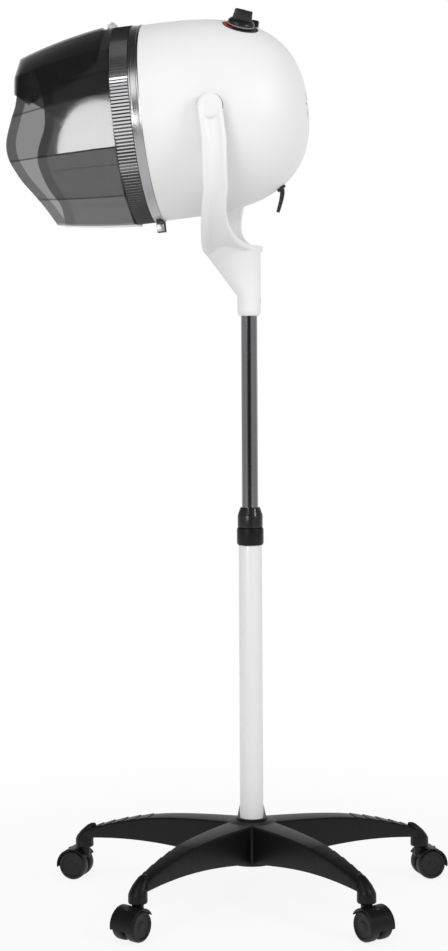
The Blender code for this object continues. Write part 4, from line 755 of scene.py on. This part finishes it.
combine(shell, put(rod("hole", GLAND_BORE, *BORE_SPAN), shell_frame(GLAND_STATION, pi)), "DIFFERENCE")
put(shell, HOOD)
fit(shade(shell, radians(30.0)), white_plastic, "hood", "white_plastic", "outer_shell")


# Inner bowl: a white moulding that closes the air space of the hood, given a mid grey as painted shade for the
# dim inside of the hood. Warm air comes out of its two rings of round holes; its edge is held between the
# shell and the visor's collar.
BOWL_RADIUS = 0.134
BOWL_DEPTH = 0.105
BOWL_WALL = 0.0025
BOWL_FLAT = 0.038
BOWL_POWER = 2.6
BOWL_STEPS = 28
BOWL_RIM = ((BOWL_RADIUS, -0.0065), (0.1464, -0.0065), (0.1464, -0.0085), (BOWL_RADIUS - 0.0010, -0.0085),
            (BOWL_RADIUS - BOWL_WALL, -0.0070))
BOWL_RINGS = ((0.056, 5), (0.098, 10))
AIR_HOLE = 0.008

# Mid grey in place of the moulding's white: painted shade for the dim inside of the hood.
bowl_painted_shade = surface("bowl_painted_shade", (0.62, 0.62, 0.61), 0.40, 300.0, 0.00008, spread=0.03)


def bowl_skin(inset):
    """Points (radius, distance) of the bowl's curve, from its rim to its flat middle."""
    points = []
    for i in range(BOWL_STEPS + 1):
        turn = pi / 2 * i / BOWL_STEPS
        radius = (BOWL_RADIUS - inset) * cos(turn)
        if radius > BOWL_FLAT:
            points.append((radius, (BOWL_DEPTH - inset) * sin(turn) ** (2 / BOWL_POWER)))
    return points


profile = [(0.0, BOWL_DEPTH), (BOWL_FLAT, BOWL_DEPTH), *reversed(bowl_skin(0.0)[1:]), *BOWL_RIM,
           *bowl_skin(BOWL_WALL)[1:], (BOWL_FLAT, BOWL_DEPTH - BOWL_WALL), (0.0, BOWL_DEPTH - BOWL_WALL)]
bowl = spun("bowl_white", [(r, station(s)) for r, s in profile], "X", 96)
for radius, count in BOWL_RINGS:
    for i in range(count):
        place = Matrix.Rotation(tau * i / count, 4, "X") @ Matrix.Translation((0.0, 0.0, radius))
        hole = rod("hole", AIR_HOLE, station(0.0), station(0.21), "X", 28)
        combine(bowl, put(hole, place), "DIFFERENCE")
put(bowl, HOOD)
fit(shade(bowl, radians(30.0)), bowl_painted_shade, "hood", "white_plastic", "inner_bowl")


# Blower and heater: a motor in a pressed cup, a nylon fan on its shaft and a heater ring on spokes. They show
# only through the bowl's holes and the vents, so the solids keep their shape and get their real finishes.
grey_plastic = surface("grey_plastic", (0.20, 0.20, 0.21), 0.50, 500.0, 0.00008, spread=0.08)
motor_casing = surface("motor_casing", (0.30, 0.30, 0.31), 0.38, 350.0, 0.00008, spread=0.10, Metallic=0.7)
heater_wire = surface("heater_wire", (0.42, 0.27, 0.17), 0.42, 260.0, 0.00020, spread=0.20, Metallic=1.0)
finish_nodes(motor_casing, "motor")
finish_nodes(zinc_steel, "motor_bracket")
finish_nodes(black_nylon, "fan_impeller")
finish_nodes(grey_plastic, "heater_frame", "temperature_switch", "timer_body")
finish_nodes(heater_wire, "heater_element")


# Band clamp: a bright steel strap rolled round the joint of shell and visor. Its ends turn down into two
# lugs under the hood, drawn together by a square-headed screw and a nut.
BAND_OUTER = 0.1506
BAND_INNER = 0.1488
BAND = ((BAND_INNER, 0.0), (0.1500, 0.0), (BAND_OUTER, -0.0008), (BAND_OUTER, -0.0028), (0.1501, -0.0036),
        (0.1501, -0.0114), (BAND_OUTER, -0.0122), (BAND_OUTER, -0.0142), (0.1500, -0.0150),
        (BAND_INNER, -0.0150))
BAND_MIDDLE = -0.0075
GAP_SIZE = (0.030, 0.006, 0.030)
LUG = ((0.0030, -0.1494), (0.0060, -0.1494), (0.0060, -0.1655), (0.0045, -0.1676), (0.0030, -0.1676))
LUG_REAR = -0.0010
LUG_WIDTH = 0.0130
LUG_START = 0.0004
SCREW_DROP = -0.1606
HEAD_SIZE = (0.0106, 0.0050, 0.0106)
HEAD_PLACE = (0.0, -0.0088, 0.0)
HEAD_EDGE = 0.0016
HEAD_RISE = 0.0004
SHANK = ((0.0, -0.0070), (0.0025, -0.0070), (0.0025, 0.0122), (0.0019, 0.0133), (0.0, 0.0133))
HEX_RADIUS = 0.0060
HEX_DEPTH = 0.0040
HEX_PLACE = (0.0, 0.0083, 0.0)
HEX_BORE = 0.0028

band_steel = surface("band_steel", (0.42, 0.42, 0.43), 0.27, 160.0, 0.00001, spread=0.08, gloss=0.05,
                     stretch=(1.0, 0.05, 0.05), Metallic=1.0)
lug_steel = surface("lug_steel", (0.085, 0.085, 0.09), 0.45, 300.0, 0.00004, spread=0.15, Metallic=0.6)


def second_finish(piece, plain, other):
    """In edit mode, give a piece two finishes, with the second one on the faces that are selected."""
    piece.data.materials.append(plain)
    piece.data.materials.append(other)
    piece.active_material_index = 1
    bpy.ops.object.material_slot_assign()
    bpy.ops.object.mode_set(mode="OBJECT")


band = spun("band_strap", [(r, station(s)) for r, s in closed(BAND)], "X", 160)
combine(band, block("gap", GAP_SIZE, (station(BAND_MIDDLE), 0.0, -SHELL_RADIUS)), "DIFFERENCE")
for side in (-1, 1):
    lug = prism("lug", [(station(LUG_REAR), side * y, z) for y, z in LUG], (-LUG_WIDTH, 0.0, 0.0))
    combine(band, soften(lug, 0.0006), "UNION")
edit(band)
pick(band, "faces", lambda f: f.calc_center_median().z < -BAND_OUTER - LUG_START)
second_finish(band, band_steel, lug_steel)
put(band, HOOD)
fit(shade(band, radians(30.0)), band_steel, "hood", "band_steel", "band_clamp")

screw_place = HOOD @ Matrix.Translation((station(BAND_MIDDLE), 0.0, SCREW_DROP))
screw = block("clamp_screw_square", HEAD_SIZE, HEAD_PLACE)
pick(screw, "faces", lambda f: f.normal.y < -0.9)
bpy.ops.mesh.inset(thickness=HEAD_EDGE)
extrude(0.0, -HEAD_RISE, 0.0)
soften(screw, 0.0007, 3)
combine(screw, spun("shank", SHANK, "Y", 28), "UNION")
put(screw, screw_place)
fit(shade(screw), zinc_steel, "hood", "zinc_steel", "clamp_screw")
begin()
bpy.ops.mesh.primitive_cylinder_add(vertices=6, radius=HEX_RADIUS, depth=HEX_DEPTH,
                                    rotation=(pi / 2, 0.0, 0.0), location=HEX_PLACE)
clamp_nut = put(bpy.context.object, bpy.context.object.matrix_world.copy())
clamp_nut.name = "clamp_nut_hex"
combine(clamp_nut, rod("bore", HEX_BORE, 0.0, 0.02, "Y", 24), "DIFFERENCE")
soften(clamp_nut, 0.0005, 2)
put(clamp_nut, screw_place)
fit(shade(clamp_nut), zinc_steel, "hood", "zinc_steel", "clamp_nut")


# Collar: the rear of the smoked visor, moulded thicker, with fine ribs along the hood's axis all round so
# that the band grips it. One flank of each rib has a mirror-bright finish as a painted highlight and the other
# a near-black one as painted shade; high on the ring the lower flank is shaded, elsewhere the upper one, and
# the inside takes the painted shade too.
RIB_COUNT = 180
RIB_CREST = 0.1513
RIB_DEPTH = 0.0014
# Rib flanks beyond this radius may take the painted highlight; above this height the shaded flank is the lower
# one.
PAINTED_HIGHLIGHT_RADIUS = 0.1490
PAINTED_HIGHLIGHT_SWAP = 0.058
COLLAR_FRONT = -0.0420
COLLAR = ((0.1450, -0.0090), (0.1484, -0.0090), (0.1484, -0.0153), (RIB_CREST, -0.0153),
          (RIB_CREST, COLLAR_FRONT), (0.1450, COLLAR_FRONT))


def smoked(name, colour, alpha, roughness, mirror=0.8, coat=0.6):
    """Smoked acrylic: a dark see-through skin with a hard gloss and faint waves from the mould."""
    paint = surface(name, colour, roughness, 12.0, 0.00002, spread=0.15, gloss=0.015, Alpha=alpha,
                    Coat_Weight=coat, Specular_IOR_Level=mirror, Coat_Roughness=0.03, IOR=1.6)
    paint.surface_render_method = "BLENDED"
    return paint


def on_root(vertex):
    """True for every second row of vertices round the ribs, which sinks in as the root between two crests."""
    step = round(atan2(vertex.co.y, vertex.co.z) % tau / (tau / RIB_COUNT / 2))
    return Vector(vertex.co[1:]).length > RIB_CREST - 0.0002 and step % 2 == 0


def in_painted_shade(face):
    """True for the faces that take the painted shade: a rib's lower flank high on the collar, its upper flank
    elsewhere, and the inside.
    """
    middle = face.calc_center_median()
    outwards = Vector((0.0, middle.y, middle.z))
    if outwards.length < PAINTED_HIGHLIGHT_RADIUS:
        return True
    return (face.normal.z > outwards.normalized().z) == (middle.z < PAINTED_HIGHLIGHT_SWAP)


# Lit and shaded copies of one smoked finish: a mirror-bright one for the painted highlight and a near-black one
# for the painted shade.
collar_painted_highlight = smoked("collar_painted_highlight", (0.74, 0.74, 0.75), 0.95, 0.27)
collar_painted_highlight.node_tree.nodes["Principled BSDF"].inputs["Metallic"].default_value = 0.9
collar_painted_shade = smoked("collar_painted_shade", (0.020, 0.020, 0.021), 0.88, 0.30, 0.4, 0.2)
collar = spun("collar_ribbed", [(r, station(s)) for r, s in closed(COLLAR)], "X", RIB_COUNT * 2)
edit(collar)
pick(collar, "verts", on_root)
dent = (RIB_CREST - RIB_DEPTH) / RIB_CREST
scale((1.0, dent, dent), (0.0, 0.0, 0.0))
pick(collar, "faces", in_painted_shade)
second_finish(collar, collar_painted_highlight, collar_painted_shade)
put(collar, HOOD)
fit(shade(collar, radians(20.0)), collar_painted_highlight, "hood", "smoked_plastic", "visor_collar")


# Visor: smoked acrylic blown in twelve flat facets, with a mouth cut to a curve. The folds between the facets
# are narrow strips of a darker, more opaque smoke, painted shade for the dark lines that the folds show; a
# second strip lines the edge of the mouth, and a step closes the corners against the round collar.
FACETS = 12
VISOR_REAR = -0.0423
VISOR_FRONT = -0.2165
VISOR_WALL = 0.0025
VISOR_STEPS = 12
VISOR_CROWN = 0.024
VISOR_OFFSET = 0.003
VISOR_FALL = 0.045
VISOR_RISE = 0.020
FOLD_HALF = 0.0013
MOUTH = ((-0.160, -0.142), (-0.173, -0.106), (-0.198, -0.065), (-0.2095, -0.020), (-0.1905, 0.036),
         (-0.186, 0.080))
MOUTH_STEPS = 10
RIM_WIDTH = 0.015
RIM_WALL = 0.0008
RIM_GAP = 0.0002
SEAT_WIDTH = 0.0018
SEAT_BORE = 0.1452
TOOL_REACH = 0.3
TOOL_AHEAD = -0.5
TOOL_BEHIND = 0.2

smoked_visor = smoked("smoked_visor", (0.014, 0.014, 0.015), 0.54, 0.05)
# The folds' smoke: darker and more opaque than the facets as painted shade, and rough, so that it shows no
# highlight.
smoked_painted_shade = smoked("smoked_painted_shade", (0.010, 0.010, 0.011), 0.74, 0.30, 0.3, 0.0)
smoked_rim = smoked("smoked_rim", (0.010, 0.010, 0.011), 0.42, 0.08)


def visor_heights(s):
    """Heights of the visor's top and bottom facets above and below the hood's axis."""
    share = (s - COLLAR_FRONT) / (VISOR_FRONT - COLLAR_FRONT)
    crown = VISOR_CROWN * share * (1.0 - share)
    top = SHELL_RADIUS - VISOR_OFFSET * (1.0 - share) - VISOR_FALL * share + crown
    bottom = SHELL_RADIUS + VISOR_OFFSET * (1.0 - share) - VISOR_RISE * share + crown / 2
    return top, bottom


def smooth_line(points, steps):
    """Points of a smooth curve through the given ones."""
    padded = [points[0], *points, points[-1]]
    line = []
    for a, b, c, d in zip(padded, padded[1:], padded[2:], padded[3:]):
        for i in range(steps):
            t = i / steps
            line.append(tuple(q + t * (r - p) / 2 + t * t * (p - 2.5 * q + 2 * r - w / 2)
                              + t ** 3 * (1.5 * (q - r) + (w - p) / 2) for p, q, r, w in zip(a, b, c, d)))
    line.append(points[-1])
    return line


def facet_skin(name, stops):
    """Extrude a ring of facets from stop to stop: each stop is (distance, top height, bottom height)."""
    s, top, bottom = stops[0]
    flat, middle = (top + bottom) / 2, (top - bottom) / 2
    reach = flat / cos(pi / FACETS)
    angles = [tau * (i + 0.5) / FACETS for i in range(FACETS)]
    piece = draw(name, closed([(station(s), reach * sin(a), middle + reach * cos(a)) for a in angles]))
    for further, top, bottom in stops[1:]:
        size, height = (top + bottom) / 2, (top - bottom) / 2
        extrude(further - s, 0.0, height - middle)
        scale((1.0, size / flat, size / flat), (0.0, 0.0, height))
        s, flat, middle = further, size, height
    bpy.ops.mesh.select_all(action="SELECT")
    bpy.ops.mesh.normals_make_consistent(inside=False)
    return piece


def mark_folds(piece, plain, dark):
    """Bevel the folds between the facets and give the narrow faces the darker material, a painted shade."""
    pick(piece, "edges", lambda e: abs(e.verts[0].co.x - e.verts[1].co.x) > 1e-4)
    bpy.ops.mesh.bevel(offset=FOLD_HALF, segments=2, clamp_overlap=False)
    second_finish(piece, plain, dark)


def across(name, outline):
    """A tool right across the hood, from an outline of (distance, height) points."""
    return prism(name, [(station(s), -TOOL_REACH, v) for s, v in outline], (0.0, 2 * TOOL_REACH, 0.0))


def mouth_tool(inset):
    """All in front of the mouth's curve, or all behind it when the inset is given."""
    curve = [(s + inset, v) for s, v in smooth_line(MOUTH, MOUTH_STEPS)]
    end = TOOL_BEHIND if inset else TOOL_AHEAD
    return across("mouth_tool", [(curve[0][0], -TOOL_REACH), *curve, (curve[-1][0], TOOL_REACH),
                                 (end, TOOL_REACH), (end, -TOOL_REACH)])


span = [VISOR_REAR + (VISOR_FRONT - VISOR_REAR) * i / VISOR_STEPS for i in range(VISOR_STEPS + 1)]
visor = facet_skin("visor_smoked", [(s, *visor_heights(s)) for s in span])
mark_folds(visor, smoked_visor, smoked_painted_shade)
alter(visor, "SOLIDIFY", thickness=VISOR_WALL, offset=-1.0, use_even_offset=True)
combine(visor, mouth_tool(0.0), "DIFFERENCE")
put(visor, HOOD)
fit(shade(visor, radians(5.0)), smoked_visor, "hood", "smoked_plastic", "visor")

rim = facet_skin("visor_rim", [(s, *(h - VISOR_WALL - RIM_GAP for h in visor_heights(s))) for s in span])
bpy.ops.object.mode_set(mode="OBJECT")
alter(rim, "SOLIDIFY", thickness=RIM_WALL, offset=-1.0, use_even_offset=True)
combine(rim, mouth_tool(0.0), "DIFFERENCE")
combine(rim, mouth_tool(RIM_WIDTH), "DIFFERENCE")
put(rim, HOOD)
fit(shade(rim, radians(9.0)), smoked_rim, "hood", "smoked_plastic")

# The step takes the folds' darker smoke too, painted shade in the corners against the collar.
seat = facet_skin("visor_seat", [(s, *(h - VISOR_WALL / 2 for h in visor_heights(VISOR_REAR)))
                                 for s in (VISOR_REAR, VISOR_REAR - SEAT_WIDTH)])
bpy.ops.mesh.fill_holes(sides=0)
tidy_skin()
combine(seat, rod("bore", SEAT_BORE, station(-0.03), station(-0.06), "X", 160), "DIFFERENCE")
put(seat, HOOD)
fit(shade(seat), smoked_painted_shade, "hood", "smoked_plastic")


# Flap: a second smoked shell over the top of the visor, rounded down to a nose over the mouth. It swings up
# on a clear plastic hinge with a steel pin, set on the flat top of the visor.
FLAP_REAR = -0.057
FLAP_CORNER = -0.189
FLAP_NOSE = -0.198
FLAP_GAP = 0.0015
FLAP_WALL = 0.0025
FLAP_STEPS = 10
FLAP_CUT = -0.0576
FLAP_EDGE = ((-0.0586, 0.090), (-0.0805, 0.074), (-0.1675, 0.036), (-0.198, 0.062))
NOSE_STEPS = 8
NOSE_TURN = radians(81.0)
NOSE_POWER = 0.6
NOSE_FLAT = 0.0006
HINGE_ROUND = 0.0005

smoked_flap = smoked("smoked_flap", (0.012, 0.012, 0.013), 0.60, 0.06, 0.4, 0.2)
# The flap's folds: darker and more opaque than its facets as painted shade, and glossier.
flap_fold_painted_shade = smoked("flap_fold_painted_shade", (0.010, 0.010, 0.011), 0.80, 0.12, 1.0, 1.0)
stops = []
outset = FLAP_GAP + FLAP_WALL
for i in range(FLAP_STEPS + 1):
    s = FLAP_REAR + (FLAP_CORNER - FLAP_REAR) * i / FLAP_STEPS
    stops.append((s, *(h + outset for h in visor_heights(s))))
top, bottom = visor_heights(FLAP_CORNER)
for i in range(1, NOSE_STEPS + 1):
    turn = NOSE_TURN * i / NOSE_STEPS
    size = cos(turn) ** NOSE_POWER
    stops.append((FLAP_CORNER + (FLAP_NOSE - FLAP_CORNER) * sin(turn), (top + outset) * size,
                  (bottom + outset) * size))
flap = facet_skin("flap_smoked", stops)
pick(flap, "verts", lambda v: v.co.x < station(FLAP_NOSE) + NOSE_FLAT)
bpy.ops.mesh.edge_face_add()
mark_folds(flap, smoked_flap, flap_fold_painted_shade)
alter(flap, "SOLIDIFY", thickness=FLAP_WALL, offset=-1.0, use_even_offset=True)
keep = across("keep", [*FLAP_EDGE, (TOOL_AHEAD, FLAP_EDGE[-1][1]), (TOOL_AHEAD, TOOL_REACH),
                       (FLAP_CUT, TOOL_REACH)])
combine(flap, keep, "INTERSECT")
put(flap, HOOD)
fit(shade(flap, radians(20.0)), smoked_flap, "flap", "smoked_plastic", "visor_flap")

clear_plastic = surface("clear_plastic", (0.80, 0.80, 0.81), 0.16, 120.0, 0.00004, spread=0.04, Alpha=0.66)
clear_plastic.surface_render_method = "BLENDED"


def from_node(node, name, width, segments=2):
    """A copy of a solid with its edges rounded over."""
    take(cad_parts[node])
    bpy.ops.object.duplicate(linked=False)
    piece = bpy.context.object
    piece.name = name
    piece.parent = None
    piece.data.materials.clear()
    edit(piece)
    bpy.ops.mesh.remove_doubles(threshold=1e-6)
    bpy.ops.mesh.dissolve_limited(angle_limit=radians(1.0))
    bpy.ops.object.mode_set(mode="OBJECT")
    return soften(piece, width, segments, radians(40.0))


for node, name, paint, body, slot in (("hinge_base", "hinge_foot", clear_plastic, "hood", "clear_plastic"),
                                      ("hinge_leaf", "hinge_wing", clear_plastic, "flap", "clear_plastic"),
                                      ("hinge_pin", "hinge_rod", zinc_steel, "hood", "zinc_steel")):
    fit(shade(from_node(node, name, HINGE_ROUND)), paint, body, slot, node)


# Controls: a black printed dial let into each shoulder of the hood, with a switch behind it and a black knob
# with a bar grip. Yellow and red arcs on the dial show how warm and how long.
DIAL_TOP = -0.0015
DIAL = ((0.0033, -0.0050), (0.0273, -0.0050), (0.0275, -0.0046), (0.0275, -0.0019), (0.0271, DIAL_TOP),
        (0.0033, DIAL_TOP))
ARC_INNER = 0.0222
ARC_OUTER = 0.0269
ARC_STEP = 0.06
INK_RISE = 0.0001
INK_DEPTH = 0.00012
KNOB_LOW = -0.0005
KNOB = ((0.0, 0.0), (0.0201, 0.0), (0.0205, 0.0006), (0.0205, 0.0034), (0.0199, 0.0038), (0.0199, 0.0044),
        (0.0204, 0.0048), (0.0202, 0.0058), (0.0186, 0.0080), (0.0173, 0.0090), (0.0, 0.0090))
KNOB_BORE = 0.0033
KNOB_BORE_SPAN = (-0.02, 0.0119)
BAR_SIZE = (0.031, 0.011, 0.0195)
BAR_MIDDLE = 0.0149
BAR_TOP = 0.0246
BAR_CORNER = 0.0036
BAR_ROUND = 0.0016
BAR_TAPER = (0.86, 0.80, 1.0)
RING = ((0.0200, 0.0010), (0.0206, 0.0012), (0.0206, 0.0030), (0.0200, 0.0032))
POINTER = ((0.0020, -0.0007), (0.0112, -0.0007), (0.0122, 0.0), (0.0112, 0.0007), (0.0020, 0.0007))
POINTER_LOW = 0.0244
POINTER_DEPTH = 0.0005

printed_dial = surface("printed_dial", (0.022, 0.021, 0.021), 0.40, 600.0, 0.00004, spread=0.12)
yellow_ink = surface("yellow_ink", (0.66, 0.46, 0.05), 0.45, 700.0, 0.00002, spread=0.06)
red_ink = surface("red_ink", (0.46, 0.035, 0.030), 0.45, 700.0, 0.00002, spread=0.06)
white_ink = surface("white_ink", (0.72, 0.72, 0.70), 0.45, 700.0, 0.00002, spread=0.03)
knob_nylon = surface("knob_nylon", (0.014, 0.014, 0.015), 0.30, 800.0, 0.00004, spread=0.12)
ring_grey = surface("ring_grey", (0.26, 0.26, 0.27), 0.35, 500.0, 0.00003, spread=0.06)


def ink_arc(name, start, turn):
    """A printed arc: a short line, spun about the dial's axis and given the thickness of the ink."""
    piece = draw(name, [(r * cos(start), r * sin(start), 0.0) for r in (ARC_INNER, ARC_OUTER)])
    bpy.ops.mesh.spin(steps=round(turn / ARC_STEP), angle=turn, center=(0, 0, 0), axis=AXES["Z"])
    tidy_skin()
    return alter(piece, "SOLIDIFY", thickness=INK_DEPTH, offset=0.0)


for word, side in (("temperature", 1), ("timer", -1)):
    place = HOOD @ shell_frame(CONTROL_STATION, side * CONTROL_ANGLE)
    dial = put(spun(word + "_plate", closed(DIAL), steps=80), place)
    fit(shade(dial), printed_dial, "hood", "printed_dial", word + "_dial")
    for colour, ink, start, turn in (("yellow", yellow_ink, radians(165.0), radians(70.0)),
                                     ("red", red_ink, radians(240.0), radians(75.0))):
        arc = ink_arc(word + "_arc_" + colour, start, turn)
        put(arc, place @ Matrix.Translation((0.0, 0.0, DIAL_TOP + INK_RISE)))
        fit(arc, ink, "hood", "printed_dial")

    knob = spun(word + "_grip", [(r, KNOB_LOW + h) for r, h in KNOB], steps=80)
    bar = block("bar", BAR_SIZE, (0.0, 0.0, KNOB_LOW + BAR_MIDDLE))
    pick(bar, "edges", lambda e: abs(e.verts[0].co.z - e.verts[1].co.z) > 0.01)
    bpy.ops.mesh.bevel(offset=BAR_CORNER, segments=4)
    pick(bar, "faces", lambda f: f.normal.z > 0.9)
    scale(BAR_TAPER, (0.0, 0.0, KNOB_LOW + BAR_TOP))
    bpy.ops.mesh.bevel(offset=BAR_ROUND, segments=3)
    combine(knob, bar, "UNION")
    combine(knob, rod("bore", KNOB_BORE, *KNOB_BORE_SPAN), "DIFFERENCE")
    put(knob, place)
    fit(shade(knob, radians(30.0)), knob_nylon, word + "_knob", "black_nylon", word + "_knob")
    ring = put(spun(word + "_ring", closed([(r, KNOB_LOW + h) for r, h in RING]), steps=80), place)
    fit(shade(ring), ring_grey, word + "_knob", "grey_plastic")
    pointer = prism(word + "_pointer", [(x, y, KNOB_LOW + POINTER_LOW) for x, y in POINTER],
                    (0.0, 0.0, POINTER_DEPTH))
    put(pointer, place)
    fit(pointer, white_ink, word + "_knob", "printed_dial")


# Cord gland: a black nylon gland in the underside of the shell, with the tapered boot that keeps the lead
# from kinking.
GLAND_ROUND = 0.0004

gland = from_node("cord_gland", "gland_boot", GLAND_ROUND)
fit(shade(gland, radians(50.0)), knob_nylon, "hood", "black_nylon", "cord_gland")
